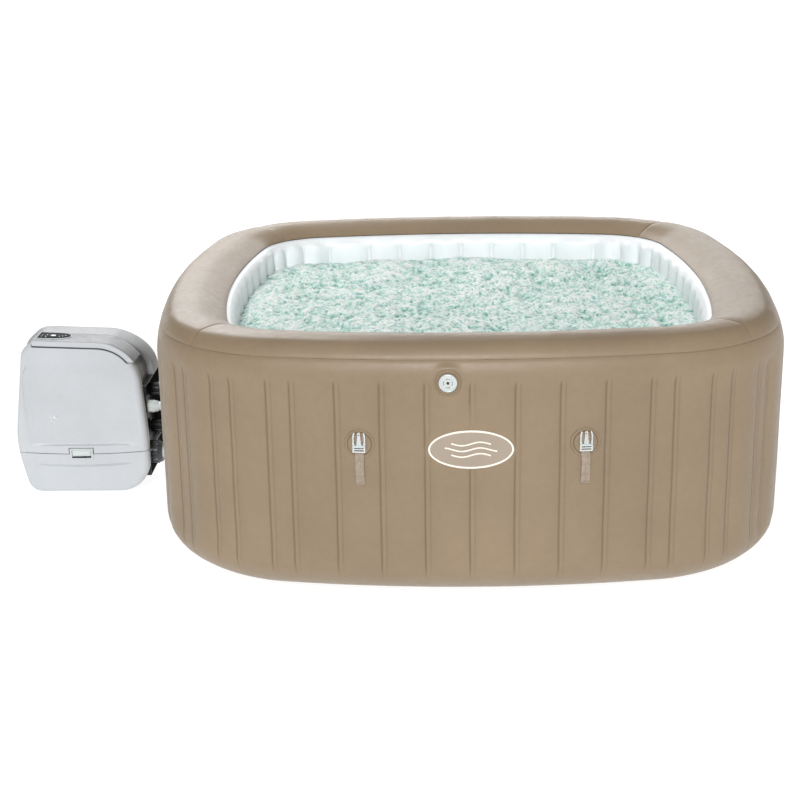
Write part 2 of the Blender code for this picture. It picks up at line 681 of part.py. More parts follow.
def main():
    """Build the whole tub and its pump unit."""
    clear_scene()
    make_base_and_floor()
    make_outer_wall()
    make_inner_wall()
    make_rim()
    make_wall_webs()
    make_straps()
    make_inflation_valve()
    make_nozzles()
    make_drain_cap()
    make_front_covers()
    make_latch()
    make_middle_band()
    make_rear_shell()
    make_base_tray()
    make_control_bar()
    make_control_panel()
    make_coupling_pan()
    make_pipes()
    make_inner_parts()


main()
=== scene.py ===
"""Inflatable hot tub with its pump unit: the visible surfaces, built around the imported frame."""
import math

import bmesh
import bpy
import numpy as np
from mathutils import Matrix, Vector, noise


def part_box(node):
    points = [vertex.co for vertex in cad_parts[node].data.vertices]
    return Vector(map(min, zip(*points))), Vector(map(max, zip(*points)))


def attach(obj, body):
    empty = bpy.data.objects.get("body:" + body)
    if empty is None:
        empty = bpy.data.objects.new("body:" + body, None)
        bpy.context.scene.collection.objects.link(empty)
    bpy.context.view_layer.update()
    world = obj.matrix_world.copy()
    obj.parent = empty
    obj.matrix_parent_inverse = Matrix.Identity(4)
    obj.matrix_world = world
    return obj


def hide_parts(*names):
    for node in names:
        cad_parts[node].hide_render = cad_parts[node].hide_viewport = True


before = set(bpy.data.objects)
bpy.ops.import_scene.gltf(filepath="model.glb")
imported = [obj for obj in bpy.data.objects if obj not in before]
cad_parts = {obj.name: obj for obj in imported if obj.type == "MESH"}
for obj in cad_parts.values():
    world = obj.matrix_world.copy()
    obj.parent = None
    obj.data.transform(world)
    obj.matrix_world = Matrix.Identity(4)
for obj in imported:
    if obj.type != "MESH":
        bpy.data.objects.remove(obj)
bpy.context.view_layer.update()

# ---------------------------------------------------------------- driving dimensions, in metres

# Plan of the tub: a rounded square with bowed sides.
HALF_SIZE = 1.005
CORNER_R = 0.465
SIDE_HALF_ANGLE = 0.169
SIDE_R = (HALF_SIZE - CORNER_R * (math.cos(SIDE_HALF_ANGLE) - math.sin(SIDE_HALF_ANGLE))) / (
    1.0 - math.cos(SIDE_HALF_ANGLE) + math.sin(SIDE_HALF_ANGLE))
CORNER_C = HALF_SIZE - SIDE_R + (SIDE_R - CORNER_R) * math.cos(SIDE_HALF_ANGLE)
SIDE_LEN = SIDE_R * SIDE_HALF_ANGLE
QUARTER = 2.0 * (SIDE_LEN + CORNER_R * (math.pi / 4 - SIDE_HALF_ANGLE))
ROUND = 4.0 * QUARTER

# Section of the wall and the top panels.
TUB_H = 0.800
WALL_T = 0.250
SKIN = 0.0015
FOOT_START = 0.0018
FOOT_INSET = 0.270
FOOT_H = 0.158
WALL_FOOT_END = 0.235
SHOULDER_INSET = 0.067
SHOULDER_H = 0.109
RIM_SEAM_ANGLE = math.radians(44.2)
INNER_TURN_H = 0.100
INNER_SEAM_ANGLE = math.radians(49.8)
RIM_BULGE = 0.016

# Welds and the panels between them.
WELD_PITCH = 0.128
OUTER_CORNER_WELDS = (0.514, 0.583, 0.699, 0.770, 0.890, 0.943)
INNER_CORNER_WELDS = (0.549, 0.735)
WELD_HALF = 0.007
CREASE_DEPTH = 0.0085
PANEL_BOW = 0.52
WELD_GROOVE = 0.0006
INNER_BOW = 0.62
SCALLOP_Z = 0.742
SCALLOP_RISE = 0.022
SCALLOP_BLEND = 0.024

# Fittings on the tub.
STRAP_ARC = 0.320
STRAP_FOOT = 0.500
STRAP_OUT = 0.014
BUCKLE_W = 0.037
BUCKLE_T = 0.009
WEBBING_W = 0.026
WEBBING_END = 0.401
PATCH_Z = 0.522
PATCH_R = 0.044
VALVE_ARC = -0.068
VALVE_Z = 0.705
VALVE_R = 0.026
SEAT_FLAT_R = 0.038
SEAT_BLEND_R = 0.056
SEAT_DROP = -0.0004
DRAIN_ARC = -0.550
DRAIN_Z = 0.190
DRAIN_STANDOFF = 0.003
DRAIN_RIBS = 15
DRAIN_DEPTH = 0.022
BADGE_CENTRE = (-0.004, 0.508)
BADGE_SEMI = (0.121, 0.057)
GROOVE_LIFT = 0.0006
WATER_Z = 0.672
WATER_INSET = 0.243
WATER_DEPTH = 0.060
SWELL_SIZE = 0.20
CHOP_SIZE = 0.060
FINE_SIZE = 0.024
SPRAY_SIZE = 0.0125
SWELL_H = 0.015
CHOP_H = 0.012
FINE_H = 0.0055
SPRAY_H = 0.0035

# Pump unit: corners of its front outline as (x, z, radius, steps).
UNIT_CORNERS = (
    (-1.552, 0.004, 0.050, 20),
    (-1.121, 0.004, 0.115, 28),
    (-1.121, 0.220, 0.500, 6),
    (-1.144, 0.542, 0.150, 32),
    (-1.542, 0.559, 0.058, 20),
    (-1.592, 0.190, 0.400, 10),
)
UNIT_TOP = 0.559
UNIT_MID_X = -1.356
UNIT_TOP_SLOPE = math.atan2(0.559 - 0.542, 1.542 - 1.144)
SHELL_T = 0.003
COVER_T = 0.006
COVER_DEPTH = 0.035
BAND_INSET = 0.012
BAND_BACK = 0.120
UNIT_BACK = 0.400
REAR_FOOT = 0.003
FOOT_CREASE_Z = 0.066
SPLIT_Z = 0.159
SPLIT_DIP = 0.010
SPLIT_GAP = 0.0025
LATCH_X = -1.360
LATCH_W = 0.084
LATCH_TOP = 0.171
AIR_SLOTS = 9
AIR_SLOT_PITCH = 0.030
AIR_SLOT_SPAN = 0.240
AIR_SLOT_HALF = 0.0045
AIR_SLOT_LOW = 0.190
AIR_SLOT_HIGH = 0.330
AIR_SLOT_DEPTH = 0.0018
REAR_GROW = 0.008
REAR_DROP = 0.064
CUT_FRONT = -0.02
CUT_BACK = 0.06
CUT_LEFT = -1.65
CUT_RIGHT = -1.05
CUT_WIDTH = 0.60
GROOVE_WIDTH = 0.0080
GROOVE_DEPTH = 0.0054
EMBLEM_X = -1.445
EMBLEM_Z = 0.286
PANEL_X = -1.494
PANEL_Y = 0.077
PANEL_T = 0.002
PANEL_LENGTH = 0.112
PANEL_HALF = 0.038
PANEL_NOSE = 0.055
BAR_X0 = -1.504
BAR_TOP = 0.0085
BAR_LIP_Y = 0.0035
BAR_LIP = 0.0105
GAP = 0.0003
MERGE = 1e-6

DOME_HORIZON = 0.14
DOME_ZENITH = 0.34
SUN_POWER = 2.25
SUN_SPREAD = math.radians(16.0)
SUN_WAY = (0.04, 0.82, -0.50)

SIDES = ("front", "right", "back", "left")


# ---------------------------------------------------------------- mesh helpers

def new_object(name, data):
    """Link a mesh, light or camera as a new object."""
    obj = bpy.data.objects.new(name, data)
    bpy.context.scene.collection.objects.link(obj)
    return obj


def from_bmesh(name, bm, place=None):
    """Object from a bmesh, with its faces turned outwards."""
    bmesh.ops.recalc_face_normals(bm, faces=bm.faces)
    mesh = bpy.data.meshes.new(name)
    bm.to_mesh(mesh)
    bm.free()
    obj = new_object(name, mesh)
    if place is not None:
        mesh.transform(place)
    return obj


def grid_object(name, points, wrap=(False, False), caps=False, layers=None):
    """Quad mesh over a (rows, columns, 3) array; caps close the first and last column."""
    rows, cols = points.shape[:2]
    index = np.arange(rows * cols).reshape(rows, cols)
    down = np.concatenate([index, index[:1]]) if wrap[0] else index
    full = np.concatenate([down, down[:, :1]], axis=1) if wrap[1] else down
    quads = np.stack([full[:-1, :-1], full[:-1, 1:], full[1:, 1:], full[1:, :-1]], axis=-1).reshape(-1, 4)
    faces = quads.tolist()
    if caps:
        faces.append(index[:, 0].tolist())
        faces.append(index[::-1, -1].tolist())
    mesh = bpy.data.meshes.new(name)
    mesh.from_pydata(points.reshape(-1, 3).tolist(), [], faces)
    for label, values in (layers or {}).items():
        layer = mesh.attributes.new(label, "FLOAT", "POINT")
        layer.data.foreach_set("value", np.ascontiguousarray(values, dtype=np.float32).ravel())
    bm = bmesh.new()
    bm.from_mesh(mesh)
    bmesh.ops.recalc_face_normals(bm, faces=bm.faces)
    bm.to_mesh(mesh)
    bm.free()
    return new_object(name, mesh)


def loft(rings, closed_along=False):
    """Closed bmesh through rings with equal numbers of points."""
    bm = bmesh.new()
    rows = [[bm.verts.new(p) for p in ring] for ring in rings]
    count = len(rows)
    size = len(rows[0])
    for i in range(count if closed_along else count - 1):
        low = rows[i]
        high = rows[(i + 1) % count]
        for j in range(size):
            k = (j + 1) % size
            bm.faces.new((low[j], low[k], high[k], high[j]))
    if not closed_along:
        bm.faces.new(rows[0])
        bm.faces.new(rows[-1])
    return bm


def box(low, high):
    """Box bmesh between two corners."""
    (x0, y0, z0), (x1, y1, z1) = low, high
    ring = ((x0, y0), (x1, y0), (x1, y1), (x0, y1))
    return loft([[(x, y, z) for x, y in ring] for z in (z0, z1)])


def plate(outline, z0, z1):
    """Prism over an (x, y) outline."""
    return loft([[(x, y, z) for x, y in outline] for z in (z0, z1)])


def upright(rows, closed_along=False):
    """Closed bmesh through (x, z) outlines, each given with its y."""
    return loft([[(x, y, z) for x, z in line] for line, y in rows], closed_along)


def across(outline, y0, y1):
    """Prism over an (x, z) outline, from y0 to y1."""
    return upright([(outline, y0), (outline, y1)])


def frame_at(point, axis, up=(0.0, 0.0, 1.0)):
    """Matrix with local Z along axis, and local Y as near to up as it can be."""
    z = Vector(axis).normalized()
    x = Vector(up).cross(z)
    x = x.normalized() if x.length > 1e-6 else Vector((1.0, 0.0, 0.0))
    y = z.cross(x)
    matrix = Matrix((x, y, z)).transposed().to_4x4()
    matrix.translation = Vector(point)
    return matrix


def turned(name, profile, place, steps=48, closed=True, wave=None):
    """Solid of revolution from an (r, z) profile; wave(angle) scales each radius."""
    rings = []
    for i in range(steps):
        angle = math.tau * i / steps
        grow = wave(angle) if wave else 1.0
        rings.append([(r * grow * math.cos(angle), r * grow * math.sin(angle), z) for r, z in profile])
    points = np.array(rings)
    obj = grid_object(name, points, wrap=(True, closed))
    if not closed:
        weld(obj)
    obj.data.transform(place)
    return obj


def weld(obj):
    """Merge the points that meet on the axis, and close what is open there."""
    bm = bmesh.new()
    bm.from_mesh(obj.data)
    bmesh.ops.remove_doubles(bm, verts=bm.verts, dist=MERGE)
    bmesh.ops.dissolve_degenerate(bm, edges=bm.edges, dist=MERGE)
    bmesh.ops.recalc_face_normals(bm, faces=bm.faces)
    bm.to_mesh(obj.data)
    bm.free()


def close_ends(obj, size, rows):
    """Fill the first and the last ring of a grid."""
    bm = bmesh.new()
    bm.from_mesh(obj.data)
    bm.verts.ensure_lookup_table()
    bm.faces.new([bm.verts[i] for i in range(size)])
    bm.faces.new([bm.verts[i] for i in range((rows - 1) * size, rows * size)][::-1])
    bmesh.ops.recalc_face_normals(bm, faces=bm.faces)
    bm.to_mesh(obj.data)
    bm.free()


def combine(target, cutter, operation="DIFFERENCE"):
    """Apply one Boolean and drop the cutter."""
    step = target.modifiers.new("cut", "BOOLEAN")
    step.operation = operation
    step.solver = "EXACT"
    step.object = cutter
    apply_all(target)
    bpy.data.objects.remove(cutter)


def apply_all(obj):
    """Replace an object's mesh with what its modifiers make of it."""
    bpy.context.view_layer.update()
    shape = obj.evaluated_get(bpy.context.evaluated_depsgraph_get())
    mesh = bpy.data.meshes.new_from_object(shape)
    obj.modifiers.clear()
    obj.data = mesh


def soften(obj, width, segments=2, angle=30.0):
    """Round the sharp edges and shade the rest smooth."""
    step = obj.modifiers.new("edge", "BEVEL")
    step.width = width
    step.segments = segments
    step.limit_method = "ANGLE"
    step.angle_limit = math.radians(angle)
    step.use_clamp_overlap = True
    apply_all(obj)
    smooth(obj)


def smooth(obj, angle=35.0):
    """Smooth shading, with edges over the angle kept sharp."""
    obj.data.shade_smooth()
    obj.data.set_sharp_from_angle(angle=math.radians(angle))
    return obj


def join(name, parts):
    """One object from several closed shells."""
    bm = bmesh.new()
    for part in parts:
        bm.from_mesh(part.data)
        bpy.data.objects.remove(part)
    mesh = bpy.data.meshes.new(name)
    bm.to_mesh(mesh)
    bm.free()
    return new_object(name, mesh)


def dress(obj, body, slot, finish, *replaced):
    """Give a piece its body and its finish, and hide the nodes that it stands for; the slot is not used."""
    obj.data.materials.clear()
    obj.data.materials.append(FINISHES[finish])
    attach(obj, body)
    if replaced:
        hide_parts(*replaced)


def step_between(value, low, high):
    """Smooth step from 0 at low to 1 at high, for numbers or arrays."""
    t = np.clip((value - low) / (high - low), 0.0, 1.0)
    return t * t * (3.0 - 2.0 * t)


def ripple(points, size, seed):
    """Smooth noise between -1 and 1 at each point; size is the length of one wave."""
    flat = points.reshape(-1, 3) / size + seed
    values = [noise.noise(Vector(p)) for p in flat.tolist()]
    return np.array(values).reshape(points.shape[:-1])


# ---------------------------------------------------------------- plan and section of the tub

def plan(arc, inset):
    """Plan points for arrays of arc and inset: arc runs from the front's middle towards +X."""
    arc, inset = np.broadcast_arrays(np.asarray(arc, float), np.asarray(inset, float))
    side = np.floor((arc + QUARTER / 2) / QUARTER)
    along = arc - side * QUARTER
    sign = np.where(along >= 0.0, 1.0, -1.0)
    straight = np.abs(along) <= SIDE_LEN
    flat = along / SIDE_R
    bend = sign * (SIDE_HALF_ANGLE + (np.abs(along) - SIDE_LEN) / CORNER_R)
    x = np.where(straight, HALF_SIZE - SIDE_R + (SIDE_R - inset) * np.cos(flat),
                 CORNER_C + (CORNER_R - inset) * np.cos(bend))
    y = np.where(straight, (SIDE_R - inset) * np.sin(flat),
                 sign * CORNER_C + (CORNER_R - inset) * np.sin(bend))
    turn = np.radians(90.0 * (side - 1.0))
    return x * np.cos(turn) - y * np.sin(turn), x * np.sin(turn) + y * np.cos(turn)


def normal_at(arc):
    """Unit vector straight out of the wall."""
    x0, y0 = plan(arc, 0.01)
    x1, y1 = plan(arc, 0.0)
    return Vector(((x1 - x0) * 100.0, (y1 - y0) * 100.0, 0.0)).normalized()


def shoulder_point(angle):
    """Outer shoulder: 0 at the vertical face, a quarter turn at the crest."""
    base = TUB_H - SHOULDER_H
    return (SHOULDER_INSET * (1 - math.cos(angle)), base + SHOULDER_H * math.sin(angle))


def inner_turn_point(angle):
    """Broad turn from the crest down to the vertical inner face."""
    across_turn = (WALL_T - SHOULDER_INSET) * math.sin(angle) ** (2.0 / 3.0)
    drop = INNER_TURN_H * (1 - max(math.cos(angle), 0.0) ** (2.0 / 3.0))
    return (SHOULDER_INSET + across_turn, TUB_H - drop)


def path_at(path, fractions):
    """Points at fractions of the length of a dense path."""
    path = np.array(path)
    length = np.concatenate([[0.0], np.cumsum(np.linalg.norm(np.diff(path, axis=0), axis=1))])
    return np.stack([np.interp(fractions * length[-1], length, path[:, k]) for k in (0, 1)], axis=1)


def resample(path, steps):
    """Points at even lengths along a dense path."""
    return path_at(path, np.linspace(0.0, 1.0, steps + 1))


def path_normals(path):
    """Outward unit normals of an (inset, z) path that runs upwards on the outside."""
    run = np.gradient(path, axis=0)
    out = np.stack([-run[:, 1], run[:, 0]], axis=1)
    return out / np.linalg.norm(out, axis=1, keepdims=True)


def weld_positions(pitch_counts, corners):
    """Weld positions round the tub, for front and back, and for the two sides."""
    front_count, side_count = pitch_counts
    front = [WELD_PITCH * i for i in range(-front_count, front_count + 1)]
    front += [sign * a for a in corners[0] for sign in (-1, 1)]
    side = [WELD_PITCH * i for i in range(-side_count, side_count + 1)]
    side += [sign * a for a in corners[1] for sign in (-1, 1)]
    spots = [k * QUARTER + a for k, group in enumerate((front, side, front, side)) for a in group]
    return np.sort(np.array(spots))


def columns_for(welds, offsets, fill):
    """Arc positions: a few close to each weld, and even steps between them."""
    marks = []
    ends = np.append(welds, welds[0] + ROUND)
    reach = offsets[-1]
    for here, there in zip(ends[:-1], ends[1:]):
        marks.append(here)
        marks += [here + o for o in offsets]
        steps = max(2, math.ceil((there - here - 2 * reach) / fill))
        run = (there - here - 2 * reach) / steps
        marks += [here + reach + run * i for i in range(1, steps)]
        marks += [there - o for o in reversed(offsets)]
    return np.array(marks)


def beside_welds(arc, welds):
    """Distances to the welds on the left and right, and the distance between those two."""
    ring = np.concatenate([[welds[-1] - ROUND], welds, [welds[0] + ROUND]])
    around = (arc - welds[0]) % ROUND + welds[0]
    i = np.clip(np.searchsorted(ring, around, side="right") - 1, 0, len(ring) - 2)
    return around - ring[i], ring[i + 1] - around, ring[i + 1] - ring[i]


def panel_shape(arc, welds, bow):
    """Height of the panel's arch over its welds, and the distance to the nearest weld."""
    left, right, width = beside_welds(arc, welds)
    t = np.clip((left - WELD_HALF) / (width - 2 * WELD_HALF), 0.0, 1.0)
    arch = (4.0 * t * (1.0 - t)) ** 0.85
    return bow * width ** 2 * arch, np.minimum(left, right)


OUTER_WELDS = weld_positions((3, 5), (OUTER_CORNER_WELDS, ()))
INNER_WELDS = weld_positions((3, 5), (INNER_CORNER_WELDS, (0.814,)))


def weld_side(arc):
    """Signed distance to the nearest outer weld, negative on its left."""
    left, right, _ = beside_welds(arc, OUTER_WELDS)
    return np.where(left < right, left, -right)


def badge_distance(arc, z):
    """1 on the badge's edge, less inside it."""
    centre_x, centre_z = BADGE_CENTRE
    return np.hypot((arc - centre_x) / BADGE_SEMI[0], (z - centre_z) / BADGE_SEMI[1])


def wall_offset(arc, z):
    """How far the outer skin stands out of the plain section, and the painted shade along its welds and its
    top seam.
    """
    arc, z = np.broadcast_arrays(np.asarray(arc, float), np.asarray(z, float))
    height, near = panel_shape(arc, OUTER_WELDS, PANEL_BOW)
    groove = np.exp(-((near - WELD_HALF) / 0.0021) ** 2)
    panel = -CREASE_DEPTH + height - WELD_GROOVE * groove
    fade = step_between(z, 0.10, 0.20) * (1.0 - step_between(z, 0.672, 0.722))
    bulge = 0.0006 * np.sin(np.pi * np.clip((z - 0.685) / 0.085, 0.0, 1.0))
    seam = -0.0010 * step_between(z, 0.757, 0.7675)
    foot = -0.002 * (1.0 - step_between(z, 0.05, 0.2))
    offset = fade * panel + (1.0 - fade) * (-0.0015 + foot) + bulge + seam
    badge = 1.0 - step_between(badge_distance(arc, z), 1.00, 1.16)
    offset = offset * (1.0 - badge) - 0.0010 * badge
    # Painted shade along each weld, full on the weld's left side and about a third as strong on its right,
    # and a faint painted shade line at the top seam.
    mark_fade = step_between(z, 0.07, 0.16) * (1.0 - step_between(z, 0.690, 0.712))
    side = 0.35 + 0.65 * (weld_side(arc) < 0.0)
    weld_edge_shade = side * np.exp(-((near - WELD_HALF) / 0.0026) ** 2) * mark_fade * (1.0 - badge)
    seam_shade_line = step_between(z, 0.7625, 0.7665)
    return offset, np.maximum(weld_edge_shade, 0.22 * seam_shade_line)


def valve_place():
    """Frame of the inflation valve on the front shoulder."""
    angle = math.asin((VALVE_Z - (TUB_H - SHOULDER_H)) / SHOULDER_H)
    slope = SHOULDER_INSET * math.sin(angle) / (SHOULDER_H * math.cos(angle))
    axis = (normal_at(VALVE_ARC) + Vector((0.0, 0.0, slope))).normalized()
    x, y = plan(VALVE_ARC, shoulder_point(angle)[0])
    return frame_at(Vector((x, y, VALVE_Z)) + axis * 0.0006, axis)


def flatten_around(points, place, inner, outer, height):
    """Pull the points near a place's axis onto a flat seat under it."""
    back = np.array(place.inverted())
    local = points @ back[:3, :3].T + back[:3, 3]
    radius = np.hypot(local[..., 0], local[..., 1])
    near = (1.0 - step_between(radius, inner, outer)) * (np.abs(local[..., 2]) < 0.05)
    local[..., 2] = local[..., 2] * (1.0 - near) + height * near
    ahead = np.array(place)
    return local @ ahead[:3, :3].T + ahead[:3, 3]


def swept_skin(path, normals, arcs, offsets, layers):
    """Closed skin: the displaced path swept along the arcs, and a coarser inner side."""
    inset = path[:, :1] + normals[:, :1] * offsets
    z = path[:, 1:] + normals[:, 1:] * offsets
    x, y = plan(arcs[None, :], inset)
    outer = np.stack([x, y, z], axis=-1)
    picked = np.unique(np.append(np.arange(0, len(path), 4), len(path) - 1))[::-1]
    back_inset = inset[picked] - normals[picked, :1] * SKIN
    x, y = plan(arcs[None, :], back_inset)
    inner = np.stack([x, y, z[picked] - normals[picked, 1:] * SKIN], axis=-1)
    marks = {label: np.concatenate([values, values[picked]]) for label, values in layers.items()}
    return outer, inner, marks


# ---------------------------------------------------------------- tub skins

def outer_path():
    """Outer wall's section: rounded foot, tall face and shoulder, up to the top weld."""
    first = math.asin(1 - WALL_FOOT_END / FOOT_INSET)
    foot = []
    for i in range(41):
        a = first + (math.pi / 2 - first) * i / 40
        foot.append((FOOT_INSET * (1 - math.sin(a)), FOOT_START + FOOT_H * (1 - math.cos(a))))
    shoulder = [shoulder_point((RIM_SEAM_ANGLE - 0.004) * i / 40) for i in range(41)]
    up = np.concatenate([np.linspace(0.0, 0.96, 21), [0.975, 0.987, 0.995, 1.0]])
    face = np.linspace(foot[-1], (0.0, 0.655), 17)
    top = [(0.0, 0.655 + 0.006 * i) for i in range(1, 6)]
    return np.concatenate([resample(foot, 15)[:-1], face, top, path_at(shoulder, up)])


def make_outer_skin():
    """Taupe outer wall: upright panels that swell between their welds."""
    arcs = columns_for(OUTER_WELDS, (0.0028, 0.0052, 0.0070, 0.0088, 0.0125), 0.017)
    path = outer_path()
    normals = path_normals(path)
    offsets, crease = wall_offset(arcs[None, :], path[:, 1:])
    outer, inner, marks = swept_skin(path, normals, arcs, offsets, {"crease": crease})
    outer += (ripple(outer, 0.11, 3.0) * 0.0009)[..., None] * np.sign(outer * (1.0, 1.0, 0.0))
    place = valve_place()
    outer = flatten_around(outer, place, SEAT_FLAT_R, SEAT_BLEND_R, SEAT_DROP)
    inner = flatten_around(inner, place, SEAT_FLAT_R, SEAT_BLEND_R, SEAT_DROP - SKIN)
    obj = grid_object("tub_outer_skin", np.concatenate([outer, inner]), (True, True), layers=marks)
    obj.data.shade_smooth()
    dress(obj, "tub", "taupe_vinyl", "taupe_vinyl", "outer_wall")


def make_rim_panels():
    """Four soft top panels, mitred at the corners, each crowned between its welds."""
    start = [shoulder_point(RIM_SEAM_ANGLE + (math.pi / 2 - RIM_SEAM_ANGLE) * i / 30) for i in range(30)]
    turn = [inner_turn_point(INNER_SEAM_ANGLE * (i / 60) ** 1.5) for i in range(61)]
    spots = np.concatenate([[0.0, 0.003, 0.008, 0.015], np.linspace(0.03, 0.97, 36),
                            [0.985, 0.992, 0.997, 1.0]])
    path = path_at(start + turn, spots)
    normals = path_normals(path)
    t = spots[:, None]
    half = QUARTER / 2 - 0.0006
    for side, label in enumerate(SIDES):
        even = np.linspace(-half, half, 131)
        extra = [sign * (half - d) for d in (0.0015, 0.003, 0.005, 0.008) for sign in (-1, 1)]
        along = np.sort(np.concatenate([even, extra]))
        arcs = side * QUARTER + along
        to_mitre = half - np.abs(along)[None, :]
        crown = RIM_BULGE * np.sin(np.pi * t) ** 1.5
        valley = np.exp(-(to_mitre / 0.020) ** 2) * 0.0018 + np.exp(-(to_mitre / 0.004) ** 2) * 0.0012
        edge = -0.0014 * np.exp(-(t / 0.02) ** 2) - 0.0016 * np.exp(-((1.0 - t) / 0.03) ** 2)
        flat = np.zeros((len(path), len(arcs), 3))
        flat[..., 0] = arcs[None, :]
        flat[..., 1] = t * 0.28
        pucker = ripple(flat * (1.0, 0.25, 1.0), 0.020, 7.0 + side) * 0.0006 * np.exp(-(to_mitre / 0.09) ** 2)
        wave = ripple(flat, 0.13, 11.0 + side) * 0.0012
        offsets = crown - valley + edge + pucker + wave
        # Painted shade lines along the panel's outer seam, its inner edge and its mitres.
        seam = np.maximum(0.30 * np.exp(-(t / 0.008) ** 2), 0.5 * np.exp(-((1.0 - t) / 0.010) ** 2))
        lines = np.maximum(0.55 * np.exp(-(to_mitre / 0.0020) ** 2), seam)
        outer, inner, marks = swept_skin(path, normals, arcs, offsets, {"crease": lines})
        obj = grid_object("rim_panel_" + label, np.concatenate([outer, inner]), (True, False), True, marks)
        obj.data.shade_smooth()
        dress(obj, "tub", "taupe_vinyl", "taupe_vinyl", "rim_" + label)


def make_inner_skin():
    """White inner wall, with a scalloped weld at the top of each panel."""
    arcs = columns_for(INNER_WELDS, (0.003, 0.007, 0.011), 0.018)
    first = INNER_SEAM_ANGLE + 0.004
    turn = [inner_turn_point(first + (math.pi / 2 - first) * i / 60) for i in range(61)]
    down = np.linspace(turn[-1], (WALL_T, 0.560), 14)
    foot = np.linspace((WALL_T, 0.560), (WALL_T, 0.0040), 8)
    path = np.concatenate([resample(turn, 22)[:-1], down[:-1], foot])
    normals = path_normals(path)
    z = path[:, 1:]
    height, near = panel_shape(arcs[None, :], INNER_WELDS, INNER_BOW)
    scallop = SCALLOP_Z + SCALLOP_RISE * np.clip(near / (WELD_PITCH / 2), 0.0, 1.0) ** 0.6
    fade = 1.0 - step_between(z, scallop - SCALLOP_BLEND, scallop)
    panel = -CREASE_DEPTH + height - 0.0012 * np.exp(-((near - WELD_HALF) / 0.002) ** 2)
    edge = -0.0030 * step_between(z, 0.764, 0.7735)
    offsets = fade * panel - 0.002 * (1.0 - fade) + edge
    # Painted shade along each inner weld, fading out at the top scallops.
    crease = np.exp(-((near - WELD_HALF) / 0.003) ** 2) * fade
    outer, inner, marks = swept_skin(path, normals, arcs, offsets, {"crease": crease})
    obj = grid_object("tub_inner_skin", np.concatenate([outer, inner]), (True, True), layers=marks)
    obj.data.shade_smooth()
    dress(obj, "tub", "white_vinyl", "white_vinyl", "inner_wall")


# ---------------------------------------------------------------- water

def crests(points, size, seed):
    """Sharp-crested noise, 1 along its crests."""
    return 1.0 - 2.0 * np.abs(ripple(points, size, seed))


def make_water():
    """Bubbling water: a churned surface over a shallow body that fills the basin's outline."""
    rings = 128
    arcs = np.linspace(0.0, ROUND, 720, endpoint=False)
    spread = np.linspace(0.0, 1.0, rings + 1)[1:]
    edge_x, edge_y = plan(arcs, WATER_INSET)
    x = spread[:, None] * edge_x[None, :]
    y = spread[:, None] * edge_y[None, :]
    top = np.stack([x, y, np.zeros_like(x)], axis=-1)
    swell = ripple(top, SWELL_SIZE, 21.0)
    chop = crests(top + ripple(top, 0.05, 5.0)[..., None] * 0.02, CHOP_SIZE, 31.0)
    fine = crests(top, FINE_SIZE, 41.0)
    spray = crests(top, SPRAY_SIZE, 51.0)
    rise = SWELL_H * swell + CHOP_H * chop + FINE_H * fine + SPRAY_H * spray
    calm = 1.0 - 0.55 * step_between(spread, 0.93, 1.0)[:, None]
    top[..., 2] = WATER_Z + rise * calm
    foam = 0.22 * chop + 0.30 * fine + 0.45 * spray + 0.10 * swell
    low = top[-1:].copy()
    low[..., 2] = WATER_Z - WATER_DEPTH
    base = low * (0.5, 0.5, 1.0)
    points = np.concatenate([top, low, base])
    marks = {"foam": np.concatenate([foam, foam[-1:], foam[-1:]])}
    obj = grid_object("water_surface", points, (False, True), layers=marks)
    close_ends(obj, len(arcs), len(points))
    obj.data.shade_smooth()
    obj.data.materials.append(FINISHES["foam_water"])
    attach(obj, "tub")


# ---------------------------------------------------------------- pieces that lie on the wall

def wall_points(arc, z, lift):
    """Points that stand proud of the outer skin's tall face."""
    offset, _ = wall_offset(arc, z)
    x, y = plan(arc, -(offset + lift))
    return np.stack([x, y, np.broadcast_to(z, x.shape)], axis=-1)


def wall_disc(name, centre, semi, profile, steps=96):
    """Closed oval patch on the wall; profile lists (radius fraction, lift), centre first."""
    angles = np.linspace(0.0, math.tau, steps, endpoint=False)[None, :]
    radii = np.array([r for r, _ in profile])[:, None]
    lift = np.array([h for _, h in profile])[:, None]
    arc = centre[0] + semi[0] * radii * np.cos(angles)
    z = centre[1] + semi[1] * radii * np.sin(angles)
    points = wall_points(arc, z, lift)
    # Painted shade in the profile's low grooves.
    low = np.array([h < GROOVE_LIFT for _, h in profile], float)[:, None] * np.ones_like(arc)
    obj = grid_object(name, points, (False, True), layers={"crease": low * 0.9})
    close_ends(obj, steps, len(profile))
    smooth(obj, 40.0)
    return obj


def wall_ribbon(name, spine, half_width, low, high):
    """Closed flat ribbon on the wall along an (arc, z) line."""
    spine = np.array(spine)
    run = np.gradient(spine, axis=0)
    side = np.stack([-run[:, 1], run[:, 0]], axis=1) / np.linalg.norm(run, axis=1, keepdims=True)
    rows = []
    for sign, lift in ((-1, low), (-1, high), (1, high), (1, low)):
        line = spine + side * sign * half_width
        rows.append(wall_points(line[:, 0], line[:, 1], lift))
    return smooth(grid_object(name, np.stack(rows), (True, False), True))


